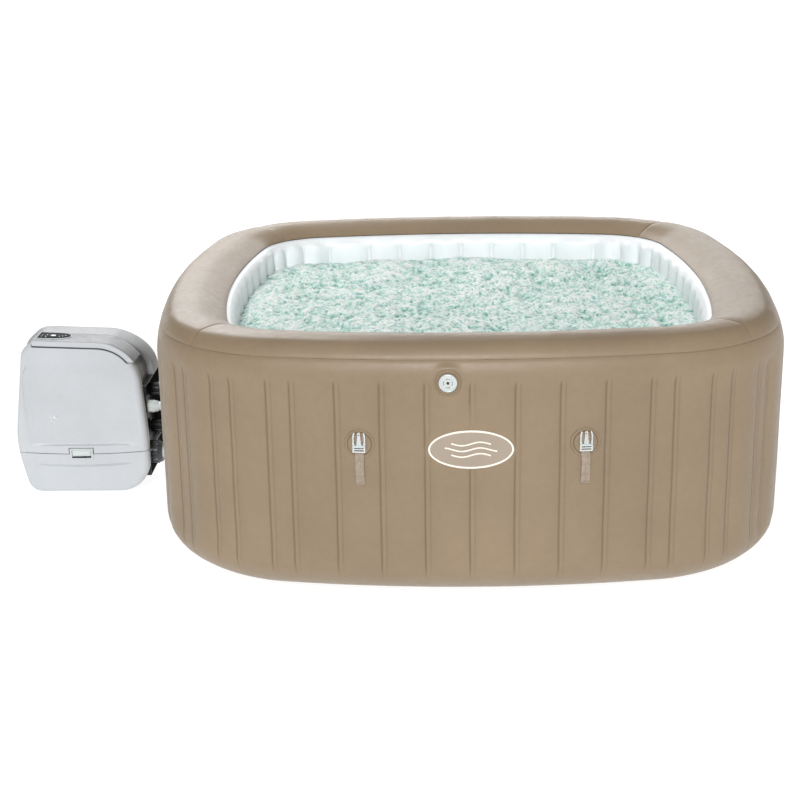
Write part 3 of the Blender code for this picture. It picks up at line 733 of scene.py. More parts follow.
def make_badge():
    """Oval badge on the front wall with a raised border and three plain wave lines."""
    face = [(radius, 0.0012) for radius in (0.02, 0.3, 0.6, 0.8, 0.945)] + [(0.945, -0.0005)]
    dress(wall_disc("badge_plate", BADGE_CENTRE, BADGE_SEMI, face), "tub", "taupe_vinyl", "badge_vinyl")
    angles = np.linspace(0.0, math.tau, 160, endpoint=False)[None, :]
    rows = []
    profile = ((0.955, -0.0005), (0.955, 0.0015), (0.963, 0.0019), (0.99, 0.0019), (1.0, 0.0015),
               (1.0, -0.0005))
    for radius, lift in profile:
        tall = 1.0 + (radius - 1.0) * BADGE_SEMI[0] / BADGE_SEMI[1]
        arc = BADGE_CENTRE[0] + BADGE_SEMI[0] * radius * np.cos(angles)
        z = BADGE_CENTRE[1] + BADGE_SEMI[1] * tall * np.sin(angles)
        rows.append(wall_points(arc, z, lift)[0])
    border = smooth(grid_object("badge_border", np.stack(rows), (True, True)))
    dress(border, "tub", "white_vinyl", "cream_print")
    waves = []
    for reach, drop in ((0.056, 0.017), (0.074, 0.0), (0.056, -0.017)):
        arcs = np.linspace(-reach, reach, 61)
        z = BADGE_CENTRE[1] + drop + 0.0052 * np.sin(arcs / 0.0165)
        spine = np.stack([BADGE_CENTRE[0] + arcs, z], axis=1)
        waves.append(wall_ribbon("wave", spine, 0.0020, 0.0004, 0.0017))
    dress(smooth(join("badge_waves", waves)), "tub", "white_vinyl", "cream_print")


def buckle_arm(sign):
    """One sprung arm of the buckle plug, curved like a lyre."""
    outline = [(0.0184, 0.018), (0.0186, 0.028), (0.0180, 0.038), (0.0184, 0.048), (0.0172, 0.054)]
    outline += [(0.0140, 0.0595), (0.0116, 0.0575), (0.0126, 0.051), (0.0140, 0.044), (0.0142, 0.034)]
    outline += [(0.0128, 0.026), (0.0112, 0.018)]
    return from_bmesh("arm", plate([(sign * x, y) for x, y in outline], -0.0078, -0.0012))


def make_buckle(name, hinge):
    """Plug of a side-release buckle: ladder at the foot, prong in the middle, two arms."""
    w = BUCKLE_W / 2
    base = from_bmesh("base", plate(
        [(-w, 0.0015), (-w + 0.0015, 0.0), (w - 0.0015, 0.0), (w, 0.0015), (w, 0.0185), (w - 0.002, 0.021),
         (-w + 0.002, 0.021), (-w, 0.0185)], -BUCKLE_T, 0.0))
    for low, high in ((0.0042, 0.0082), (0.0114, 0.0150)):
        combine(base, from_bmesh("slot", box((-0.0138, low, -0.02), (0.0138, high, 0.01))))
    prong_side = [(0.0074, 0.019), (0.0070, 0.026), (0.0052, 0.036), (0.0044, 0.048), (0.0043, 0.055)]
    prong_side += [(0.0030, 0.0595)]
    outline = prong_side + [(-x, y) for x, y in reversed(prong_side)]
    prong = from_bmesh("prong", plate(outline, -0.0072, -0.0014))
    hole = turned("hole", [(0.0, -0.02), (0.0019, -0.02), (0.0019, 0.01), (0.0, 0.01)],
                  Matrix.Translation((0.0, 0.0515, 0.0)), 20, False)
    combine(prong, hole)
    rib = from_bmesh("rib", box((-0.0010, 0.024, -0.0016), (0.0010, 0.046, -0.0004)))
    parts = [base, prong, rib, buckle_arm(1), buckle_arm(-1)]
    for part in parts[:2] + parts[3:]:
        soften(part, 0.0007)
    plug = smooth(join(name, parts))
    plug.data.transform(hinge)
    return plug


def make_webbing(name, back, seed):
    """Strap end that hangs from the buckle's bar, folded and stitched at its foot."""
    rows = 64
    profile = ((-1.0, 0.0), (-0.97, 0.7), (-0.85, 1.0), (-0.4, 1.06), (0.0, 1.0), (0.4, 1.06), (0.85, 1.0),
               (0.97, 0.7), (1.0, 0.0), (0.97, -0.7), (0.85, -1.0), (0.0, -1.0), (-0.85, -1.0), (-0.97, -0.7))
    top = 0.046
    foot = WEBBING_END - STRAP_FOOT
    rings = []
    for i in range(rows + 1):
        t = i / rows
        y = top + (foot - top) * t
        hang = max(0.0, -y) / -foot
        folded = 1.0 if hang > 0.74 else 0.0
        thick = 0.0009 + 0.0009 * folded
        out = -0.0022 + 0.0030 * math.sin(math.pi * min(hang, 1.0)) + 0.0016 * folded * 0.5
        out += 0.0010 * noise.noise(Vector((seed, y * 40.0, 0.0)))
        sway = 0.0016 * math.sin(2.2 * hang + seed) * hang
        half = WEBBING_W / 2 * (1.0 - 0.05 * math.sin(math.pi * hang))
        rings.append([(sway + half * u, y, out + thick * v) for u, v in profile])
    parts = [from_bmesh(name, loft(rings))]
    for level in (0.755, 0.955):
        for i in range(9):
            x = -0.0104 + 0.0026 * i
            y = foot * level
            stitch = box((x - 0.0008, y - 0.0004, 0.0008), (x + 0.0008, y + 0.0004, 0.0026))
            parts.append(from_bmesh("stitch", stitch))
    strap = smooth(join(name, parts))
    strap.data.transform(back)
    return strap


def make_straps():
    """Two cover straps on each side: welded patch, webbing and buckle plug."""
    patch = ((0.03, 0.0026), (0.40, 0.0026), (0.68, 0.0025), (0.74, 0.0022), (0.765, 0.0005), (0.80, 0.0005),
             (0.83, 0.0017), (0.955, 0.0016), (0.985, 0.0005), (1.0, -0.0008))
    for side, label in enumerate(SIDES):
        for sign, hand in ((-1, "a"), (1, "b")):
            tag = "_%s_%s" % (label, hand)
            arc = side * QUARTER + sign * STRAP_ARC
            disc = wall_disc("strap_patch" + tag, (arc, PATCH_Z), (PATCH_R, PATCH_R), patch)
            dress(disc, "tub", "taupe_vinyl", "taupe_vinyl")
            out = normal_at(arc)
            x, y = plan(arc, 0.0)
            foot = Vector((x, y, STRAP_FOOT))
            plug = make_buckle("strap_buckle" + tag, frame_at(foot + out * STRAP_OUT, out))
            dress(plug, "buckle" + tag, "clear_grey", "clear_white", "buckle" + tag)
            back = frame_at(foot + out * (STRAP_OUT - BUCKLE_T), out)
            strap = make_webbing("strap_webbing" + tag, back, side * 2.0 + sign)
            dress(strap, "tub", "taupe_webbing", "webbing", "webbing" + tag)


def make_valve():
    """Inflation valve: soft welded ring, and a cap with four arc grooves round its middle hole."""
    place = valve_place()
    r = VALVE_R
    ring = [(0.0212, -0.0010), (0.0212, 0.0006), (r + 0.0016, 0.0006), (r + 0.0020, 0.0042)]
    ring += [(r + 0.0040, 0.0044), (r + 0.0060, 0.0012), (r + 0.0085, 0.0008), (r + 0.0098, 0.0030)]
    ring += [(r + 0.0118, 0.0028)]
    ring += [(r + 0.0130, 0.0003), (r + 0.0130, -0.0010)]
    seat = smooth(turned("valve_seat", ring, place, 72))
    dress(seat, "tub", "taupe_vinyl", "taupe_vinyl", "inflation_valve")
    cap = [(0.0, 0.0006), (0.0200, 0.0006), (0.0200, 0.0044), (r - 0.001, 0.0044), (r, 0.0054), (r, 0.0072)]
    cap += [(r - 0.0014, 0.0090), (r - 0.0034, 0.0095), (r - 0.0046, 0.0092), (r - 0.0056, 0.0082)]
    cap += [(0.0165, 0.0082), (0.0155, 0.0092), (0.0080, 0.0094), (0.0070, 0.0086), (0.0046, 0.0086)]
    cap += [(0.0040, 0.0060), (0.0, 0.0060)]
    face = turned("valve_face", cap, Matrix.Identity(4), 96, False)
    arcs = []
    for quarter in range(4):
        centre = math.tau * quarter / 4
        arc = [centre + i / 10 - 0.5 for i in range(11)]
        outline = [(0.0135 * math.cos(a), 0.0135 * math.sin(a)) for a in arc]
        outline += [(0.0113 * math.cos(a), 0.0113 * math.sin(a)) for a in reversed(arc)]
        combine(face, from_bmesh("arc", plate(outline, 0.0068, 0.02)))
        arcs.append(from_bmesh("arc", plate(outline, 0.0060, 0.0074)))
    soften(face, 0.0003)
    face.data.transform(place)
    dress(face, "valve_cap", "clear_grey", "clear_white", "valve_cap")
    marks = join("valve_arcs", arcs)
    marks.data.transform(place)
    dress(smooth(marks), "valve_cap", "clear_grey", "grey_plastic")
    bore = [(0.0, 0.0061), (0.0038, 0.0061), (0.0034, 0.0068), (0.0, 0.0068)]
    hole = turned("valve_bore", bore, place, 24, False)
    dress(smooth(hole), "valve_cap", "black_plastic", "black_plastic")


def make_drain_cap():
    """Ribbed screw cap of the drain."""
    arc = 3 * QUARTER + DRAIN_ARC
    out = normal_at(arc)
    x, y = plan(arc, 0.0)
    place = frame_at((x + out.x * DRAIN_STANDOFF, y + out.y * DRAIN_STANDOFF, DRAIN_Z), out)
    depth = DRAIN_DEPTH
    profile = [(0.0, 0.0), (0.030, 0.0), (0.030, 0.003), (0.029, 0.004), (0.0245, 0.005)]
    profile += [(0.0242, depth - 0.003), (0.0215, depth), (0.012, depth), (0.010, depth - 0.002)]
    profile += [(0.0, depth - 0.002)]

    def ribs(angle):
        return 1.0 - 0.035 * (math.sin(angle * DRAIN_RIBS) > 0.2)

    cap = turned("drain_cap_body", profile, place, 120, False, ribs)
    dress(smooth(cap), "drain_cap", "grey_plastic", "grey_plastic", "drain_cap")


# ---------------------------------------------------------------- pump unit

def unit_outline(inset=0.0, drop=0.0):
    """Closed (x, z) outline of the unit; inset shrinks it evenly and drop lowers its top."""
    points = []
    corners = [Vector((x, z)) for x, z, _, _ in UNIT_CORNERS]
    for i, (_, _, radius, steps) in enumerate(UNIT_CORNERS):
        here = corners[i]
        back = (corners[i - 1] - here).normalized()
        ahead = (corners[(i + 1) % len(corners)] - here).normalized()
        half = math.acos(max(-1.0, min(1.0, back.dot(ahead)))) / 2
        centre = here + (back + ahead).normalized() * (radius / math.sin(half))
        first = here + back * (radius / math.tan(half)) - centre
        turn = math.pi - 2.0 * half
        start = math.atan2(first.y, first.x)
        for step in range(steps + 1):
            angle = start + turn * step / steps
            points.append(centre + Vector((math.cos(angle), math.sin(angle))) * (radius - inset))
    scale = 1.0 - drop / UNIT_TOP
    return [(p.x, p.y * scale) for p in points]


def unit_cup(name, stations, thickness=SHELL_T, flange=0.0):
    """Shell from (y, inset, drop) stations, open at the first and closed at the last."""
    forward = 1.0 if stations[-1][0] > stations[0][0] else -1.0
    outer = [[(x, y, z) for x, z in unit_outline(inset, drop)] for y, inset, drop in stations]
    inner = []
    for i, (y, inset, drop) in enumerate(stations):
        back = thickness * forward * min(1.0, i / (len(stations) - 1))
        inner.append([(x, y - back, z) for x, z in unit_outline(inset + thickness, drop)])
    if flange:
        y, inset, drop = stations[0]
        edge = [[(x, y + d, z) for x, z in unit_outline(inset + flange, drop)] for d in (0.0, thickness)]
        inner = edge + [[(x, y + thickness, z) for x, z in unit_outline(inset + thickness, drop)]] + inner[2:]
    return from_bmesh(name, loft(outer[::-1] + inner))


def split_line(grow, count=40):
    """Curved line between the cover and the hatch."""
    line = []
    for i in range(count + 1):
        x = CUT_RIGHT - CUT_WIDTH * i / count
        bow = max(1.0 - ((x - UNIT_MID_X) / 0.235) ** 2, 0.0)
        line.append((x, SPLIT_Z + grow - SPLIT_DIP * bow))
    return line


def hatch_region(grow):
    """Outline below the split line, with the tongue that carries the latch."""
    tongue = LATCH_W / 2 + grow
    line = split_line(grow)
    right = [p for p in line if p[0] > LATCH_X + tongue]
    left = [p for p in line if p[0] < LATCH_X - tongue]
    edge = SPLIT_Z + grow - SPLIT_DIP
    top = LATCH_TOP + grow
    block = [(LATCH_X + tongue, edge), (LATCH_X + tongue, top)]
    block += [(LATCH_X - tongue, top), (LATCH_X - tongue, edge)]
    return right + block + left + [(CUT_LEFT, -0.05), (CUT_RIGHT, -0.05)]


def groove(line, width, depth):
    """Shallow gutter cut along an (x, z) line, tapered at its ends."""
    rings = []
    count = len(line)
    for i, (x, z) in enumerate(line):
        end = min(1.0, 8.0 * min(i, count - 1 - i) / count + 0.05)
        w = width * (0.35 + 0.65 * end) / 2
        d = depth * end
        section = ((-0.003, -1.6), (d * 0.8, -0.35), (d, 0.2), (-0.003, 1.0))
        rings.append([(x, y, z + w * rise) for y, rise in section])
    return from_bmesh("groove", loft(rings))


def recess_outline(grow):
    """Large shallow panel of the front cover, with one chamfered corner."""
    return [(-1.536 - grow, 0.190 - grow), (-1.150 + grow, 0.190 - grow), (-1.163 + grow, 0.385),
            (-1.176 + grow, 0.415 + grow), (-1.222 + grow * 0.4, 0.458 + grow),
            (-1.530 - grow * 0.3, 0.468 + grow), (-1.545 - grow, 0.440)]


def front_stations():
    """Edge rounding of the front covers, as (y, inset, drop) from the open side."""
    rows = [(COVER_DEPTH, 0.0, 0.0), (0.020, 0.0, 0.0)]
    for i in range(1, 9):
        a = math.pi / 2 * i / 8
        rows.append((0.017 * (1 - math.sin(a)), 0.020 * (1 - math.cos(a)), 0.0))
    return rows


def slope_foot(obj):
    """Lean the foot of the hatch's face backwards, below a level crease."""
    bm = bmesh.new()
    bm.from_mesh(obj.data)
    everything = bm.verts[:] + bm.edges[:] + bm.faces[:]
    bmesh.ops.bisect_plane(bm, geom=everything, plane_co=(0.0, 0.0, FOOT_CREASE_Z), plane_no=(0.0, 0.0, 1.0))
    for vert in bm.verts:
        depth = max(0.0, FOOT_CREASE_Z - vert.co.z)
        vert.co.y += 0.17 * depth * (1.0 - vert.co.y / COVER_DEPTH)
    bm.to_mesh(obj.data)
    bm.free()


def make_front():
    """Front cover and filter hatch, with their grooves, recess, latch frame and emblem."""
    cover = unit_cup("front_cover_shell", front_stations(), COVER_T)
    combine(cover, from_bmesh("hatch_room", across(hatch_region(SPLIT_GAP), CUT_FRONT, CUT_BACK)))
    recess = upright([(recess_outline(0.014), -0.003), (recess_outline(0.0), 0.0042)])
    combine(cover, from_bmesh("recess", recess))
    over_bar = bar_run(-0.02, 0.0016) + bar_run(BAR_LIP + 0.0042, 0.0016)[::-1]
    notch = from_bmesh("notch", across(over_bar, -0.01, CUT_BACK))
    combine(notch, bar_facet())
    combine(cover, notch)
    upper = [(x, z + 0.0275) for x, z in split_line(0.0, 80) if -1.530 < x < -1.160]
    level = [(x, 0.187 + 0.1 * (z - 0.187)) for x, z in upper]
    combine(cover, groove(level, GROOVE_WIDTH, GROOVE_DEPTH))
    soften(cover, 0.0009)
    dress(cover, "tub", "light_plastic", "light_plastic", "front_cover")
    hatch = unit_cup("filter_hatch_shell", front_stations(), COVER_T)
    combine(hatch, from_bmesh("keep", across(hatch_region(0.0), CUT_FRONT, CUT_BACK)), "INTERSECT")
    lower = [(x, z - 0.0365 - 0.006 * max(1.0 - ((x - UNIT_MID_X) / 0.2) ** 2, 0.0))
             for x, z in split_line(0.0, 80) if -1.525 < x < -1.170]
    combine(hatch, groove(lower, GROOVE_WIDTH, GROOVE_DEPTH))
    slope_foot(hatch)
    window = box((LATCH_X - 0.035, -0.01, 0.134), (LATCH_X + 0.035, 0.02, 0.165))
    combine(hatch, from_bmesh("window", window))
    soften(hatch, 0.0009)
    dress(hatch, "filter_hatch", "light_plastic", "light_plastic", "filter_hatch")
    make_latch()
    make_emblem()


def rounded(x0, z0, x1, z1, r, steps=6):
    """Rounded rectangle outline."""
    points = []
    centres = ((x1 - r, z1 - r), (x0 + r, z1 - r), (x0 + r, z0 + r), (x1 - r, z0 + r))
    for quarter, (cx, cz) in enumerate(centres):
        for i in range(steps + 1):
            a = math.pi * (0.5 * quarter + 0.5 * i / steps)
            points.append((cx + r * math.cos(a), cz + r * math.sin(a)))
    return points


def make_latch():
    """Raised frame round the latch window, and the sliding tab behind it."""
    outer = rounded(LATCH_X - 0.042, 0.1285, LATCH_X + 0.042, 0.1705, 0.004)
    inner = rounded(LATCH_X - 0.0335, 0.1355, LATCH_X + 0.0335, 0.1635, 0.002)
    rows = [(outer, 0.0015), (outer, -0.0012), (inner, -0.0012), (inner, 0.0035)]
    bezel = from_bmesh("latch_frame", upright(rows, closed_along=True))
    soften(bezel, 0.0007)
    dress(bezel, "filter_hatch", "light_plastic", "light_plastic")
    _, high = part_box("hatch_latch")
    face = rounded(LATCH_X - 0.0318, 0.1425, LATCH_X + 0.0318, 0.1635, 0.0015)
    wide = rounded(LATCH_X - 0.038, 0.1415, LATCH_X + 0.038, 0.1675, 0.0015)
    rows = [(face, 0.0008), (face, 0.0034), (wide, 0.0034), (wide, high.y)]
    tab = from_bmesh("latch_tab", upright(rows))
    lip = from_bmesh("lip", box((LATCH_X - 0.030, -0.0006, 0.1425), (LATCH_X + 0.030, 0.002, 0.1455)))
    soften(tab, 0.0005)
    soften(lip, 0.0005)
    dress(smooth(join("latch_tab", [tab, lip])), "hatch_latch", "clear_grey", "clear_white", "hatch_latch")


def make_emblem():
    """Plain round emblem: a raised ring round a small button."""
    place = frame_at((EMBLEM_X, 0.0034, EMBLEM_Z), (0.0, -1.0, 0.0))
    ring = [(0.0118, -0.001), (0.0118, 0.0008), (0.0124, 0.0015), (0.0136, 0.0015), (0.0142, 0.0008)]
    ring += [(0.0142, -0.001)]
    button = [(0.0, -0.001), (0.0052, -0.001), (0.0050, 0.0012), (0.0040, 0.0021), (0.0, 0.0024)]
    parts = [turned("ring", ring, place, 64), turned("dot", button, place, 40, False)]
    dress(smooth(join("front_emblem", parts)), "tub", "light_plastic", "light_plastic_emblem")


def parting_shift(x, z):
    """How far back the parting line moves as it runs down the right-hand side."""
    down = float(step_between(0.540 - z, 0.0, 0.130))
    return 0.085 * down * float(step_between(x, -1.30, -1.20))


def lean_parting(obj, back_y):
    """Shear a shell so that its parting edge leans back down the side."""
    for vert in obj.data.vertices:
        share = (back_y - vert.co.y) / (back_y - BAND_BACK) if vert.co.y > BAND_BACK else 1.0
        share = share if vert.co.y > BAND_BACK - 0.004 else 0.0
        vert.co.y += parting_shift(vert.co.x, vert.co.z) * max(share, 0.0)


def make_band():
    """Recessed middle band: light at its left end, grey along the top and down the right."""
    y0 = COVER_DEPTH + GAP
    profile = [(BAND_INSET, y) for y in (y0, 0.060, 0.085, 0.110, BAND_BACK)]
    profile += [(BAND_INSET + 0.004, BAND_BACK), (BAND_INSET + 0.004, y0)]
    rows = [(unit_outline(inset), y) for inset, y in profile]
    end = box((-1.70, -0.10, -0.10), (BAR_X0 + 0.012, 0.50, 0.70))
    for name, keep, finish in (("middle_band_shell", "DIFFERENCE", "grey_plastic"),
                               ("middle_band_end", "INTERSECT", "light_plastic_rear_shaded")):
        band = from_bmesh(name, upright(rows, closed_along=True))
        lean_parting(band, UNIT_BACK)
        combine(band, from_bmesh("end", end.copy()), keep)
        if keep == "DIFFERENCE":
            combine(band, pan_room())
        soften(band, 0.0006)
        dress(band, "tub", "grey_plastic", finish)
    end.free()
    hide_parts("middle_band")


def pan_room():
    """Room round the coupling pan."""
    low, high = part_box("coupling_pan")
    start = (low.x - GAP, low.y - GAP, low.z - GAP)
    return from_bmesh("pan_room", box(start, (CUT_RIGHT, high.y + GAP, high.z + GAP)))


def make_rear():
    """Rear shell: the larger outline, a falling top, an edge bead, and air slots in its back."""
    rows = [(BAND_BACK + GAP, -0.005, 0.0), (BAND_BACK + 0.003, -REAR_GROW, 0.0), (0.160, -REAR_GROW, 0.0)]
    for i in range(13):
        t = i / 12
        y = 0.200 + 0.168 * t
        rows.append((y, -REAR_GROW + 0.013 * t ** 3, REAR_DROP * t ** 1.7))
    for i in range(1, 9):
        a = math.pi / 2 * i / 8
        fall = 1 - math.cos(a)
        rows.append((0.368 + 0.032 * math.sin(a), 0.005 + 0.037 * fall, REAR_DROP + 0.056 * fall))
    shell = unit_cup("rear_shell_skin", rows, SHELL_T, BAND_INSET + 0.009)
    lean_parting(shell, UNIT_BACK)
    combine(shell, from_bmesh("foot_cut", box((-1.70, -0.10, -0.10), (-1.00, 0.50, REAR_FOOT))))
    combine(shell, pan_room())
    for i in range(AIR_SLOTS):
        x = UNIT_MID_X - AIR_SLOT_SPAN / 2 + AIR_SLOT_PITCH * i
        x0 = x - AIR_SLOT_HALF
        x1 = x + AIR_SLOT_HALF
        slot = [(x0, AIR_SLOT_LOW), (x1, AIR_SLOT_LOW), (x1, AIR_SLOT_HIGH), (x0, AIR_SLOT_HIGH)]
        combine(shell, from_bmesh("slot", across(slot, UNIT_BACK - AIR_SLOT_DEPTH, UNIT_BACK + 0.01)))
    soften(shell, 0.0009)
    # The rear shell takes a darker copy of the light plastic: painted shade.
    dress(shell, "tub", "light_plastic", "light_plastic_rear_shaded", "rear_shell")


def bar_run(inset, grow=0.0):
    """Upper part of the unit's outline, from the bar's slanted end to its left end."""
    line = unit_outline(inset)
    run = sorted([p for p in line if p[1] > 0.480 and p[0] > BAR_X0 + 0.022], key=lambda p: -p[0])
    run = [p for p in run if p[1] > 0.455 + 0.20 * (p[0] + 1.128)]
    fall = (run[-1][0] - BAR_X0) * math.tan(UNIT_TOP_SLOPE)
    return run + [(BAR_X0 - grow, run[-1][1] + fall)]


def bar_facet():
    """Block whose slanted face cuts the bar's lower end."""
    facet = [(-1.200, 0.600), (-1.080, 0.600), (-1.080, 0.440), (-1.136, 0.472)]
    leaning = [(x + 0.050, z - 0.004) for x, z in facet]
    return from_bmesh("facet", upright([(facet, -0.02), (leaning, 0.130)]))


def make_bar():
    """Raised bar over the top with a deep front lip, bent down the corner and cut at a slant."""
    top = bar_run(-BAR_TOP)
    under = bar_run(BAND_INSET - GAP)[::-1]
    bar = from_bmesh("control_bar_shell", across(top + under, COVER_DEPTH + 2 * GAP, 0.119))
    front = from_bmesh("front", across(top + bar_run(BAR_LIP)[::-1], BAR_LIP_Y + 0.006, COVER_DEPTH + 0.004))
    combine(bar, front, "UNION")
    lip = from_bmesh("control_bar_lip", across(bar_run(-BAR_TOP + 0.0006) + bar_run(BAR_LIP)[::-1],
                                               BAR_LIP_Y, BAR_LIP_Y + 0.0058))
    # A dark strip under the front lip: painted shadow in the gap between the bar and the cover.
    strip = bar_run(BAR_LIP + 0.0003) + bar_run(BAR_LIP + 0.0040)[::-1]
    shadow_strip = from_bmesh("control_bar_shadow_strip", across(strip, BAR_LIP_Y + 0.001, 0.03))
    for obj in (bar, lip, shadow_strip):
        combine(obj, bar_facet())
    dress(smooth(shadow_strip), "tub", "grey_plastic", "dark_plastic")
    soften(bar, 0.0030, 4, 40.0)
    soften(lip, 0.0022, 3, 40.0)
    # The bar's body takes a darker copy of the light plastic: painted shade on its top; the front lip keeps
    # the light plastic.
    dress(bar, "tub", "light_plastic", "light_plastic_bar_shaded", "control_bar")
    dress(lip, "tub", "light_plastic", "light_plastic")


def panel_outline(grow):
    """Control panel: straight left end, rounded tip at the right."""
    length, half, nose = PANEL_LENGTH + grow, PANEL_HALF + grow, PANEL_NOSE
    points = [(-grow, -half), (length - nose, -half)]
    for i in range(1, 24):
        a = -math.pi / 2 + math.pi * i / 24
        points.append((length - nose + nose * math.cos(a), half * math.sin(a)))
    return points + [(length - nose, half), (-grow, half)]


def make_panel():
    """Glossy control panel with its rim, a display bar and plain touch marks."""
    top = UNIT_TOP - (PANEL_X - UNIT_CORNERS[4][0]) * math.tan(UNIT_TOP_SLOPE) + BAR_TOP + 2 * GAP
    place = Matrix.Translation(Vector((PANEL_X, PANEL_Y, top))) @ Matrix.Rotation(UNIT_TOP_SLOPE, 4, "Y")
    glass = from_bmesh("control_panel_glass", plate(panel_outline(0.0), 0.0, PANEL_T), place)
    soften(glass, 0.0005)
    dress(glass, "tub", "panel_gloss", "panel_gloss", "control_panel")
    rows = [(panel_outline(0.0028), 0.0), (panel_outline(0.0028), 0.0012), (panel_outline(0.0004), 0.0018),
            (panel_outline(0.0004), 0.0)]
    rings = [[(a, b, z) for a, b in line] for line, z in rows]
    rim = from_bmesh("control_panel_rim", loft(rings, closed_along=True), place)
    dress(smooth(rim), "tub", "light_plastic", "light_plastic")
    marks = [from_bmesh("mark", plate(rounded(0.043, -0.008, 0.058, 0.008, 0.002), 0.0012, 0.0022))]
    for spot_x, spot_y in ((0.012, -0.014), (0.012, 0.004), (0.026, -0.014), (0.028, 0.006), (0.074, -0.010),
                           (0.084, -0.004), (0.094, 0.002), (0.030, -0.024)):
        low = rounded(spot_x - 0.0016, spot_y - 0.0022, spot_x + 0.0016, spot_y + 0.0022, 0.0008)
        marks.append(from_bmesh("mark", plate(low, 0.0012, 0.0022)))
    symbols = join("control_panel_marks", marks)
    symbols.data.transform(place)
    # The marks are white print with a faint painted glow.
    dress(smooth(symbols), "tub", "panel_gloss", "display_white_painted_glow")


# ---------------------------------------------------------------- couplings

def ribbed(name, place, radius, length, bore, ribs, depth=0.07):
    """Union nut with grip ribs between two plain collars."""
    steps = ribs * 6
    profile = ((bore, 0.0), (radius * 0.93, 0.0), (radius * 0.97, 0.002), (radius, 0.004),
               (radius, length * 0.72), (radius * 0.94, length * 0.76), (radius * 0.82, length),
               (bore, length))
    rings = []
    for i in range(steps):
        a = math.tau * i / steps
        dip = 1.0 - depth * (i % 6 in (0, 1))
        ring = []
        for k, (r, z) in enumerate(profile):
            r = r * dip if 2 <= k <= 4 else r
            ring.append((r * math.cos(a), r * math.sin(a), z))
        rings.append(ring)
    obj = grid_object(name, np.array(rings), (True, True))
    obj.data.transform(place)
    return smooth(obj, 30.0)


def make_couplings():
    """Union nuts, a collar at the pan behind each, and the ledge along the pan."""
    finishes = {"upper": "black_plastic", "middle": "clear_white", "lower": "black_plastic",
                "return": "dark_plastic"}
    for label, finish in finishes.items():
        low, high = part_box(label + "_nut")
        centre = (low + high) / 2
        radius = (high.z - low.z) / 2
        pipe_low, pipe_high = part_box(label + "_pipe")
        bore = (pipe_high.z - pipe_low.z) / 2 - 0.010 + 0.0008
        place = frame_at((low.x, centre.y, centre.z), (1.0, 0.0, 0.0))
        nut = ribbed("union_nut_" + label, place, radius, high.x - low.x, bore, 18)
        slot = "clear_grey" if finish == "clear_white" else "black_plastic"
        dress(nut, label + "_nut", slot, finish, label + "_nut")
        seat = [(bore, -0.0125), (radius + 0.003, -0.0125), (radius + 0.003, -0.004)]
        seat += [(radius, -0.0015), (bore, -0.0015)]
        collar = smooth(turned("pan_collar_" + label, seat, place, 64))
        dress(collar, "tub", "black_plastic", "black_plastic")
    _, pan_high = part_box("coupling_pan")
    shelf = box((pan_high.x - 0.012, 0.060, 0.138), (pan_high.x + 0.004, 0.320, 0.1415))
    ledge = from_bmesh("pan_ledge", shelf)
    soften(ledge, 0.0008)
    dress(ledge, "tub", "light_plastic", "light_plastic_rear_shaded")


# ---------------------------------------------------------------- finishes

def srgb(r, g, b):
    """Linear colour from 0-255 values."""
    values = []
    for v in (r, g, b):
        v /= 255.0
        values.append(v / 12.92 if v <= 0.04045 else ((v + 0.055) / 1.055) ** 2.4)
    return (*values, 1.0)


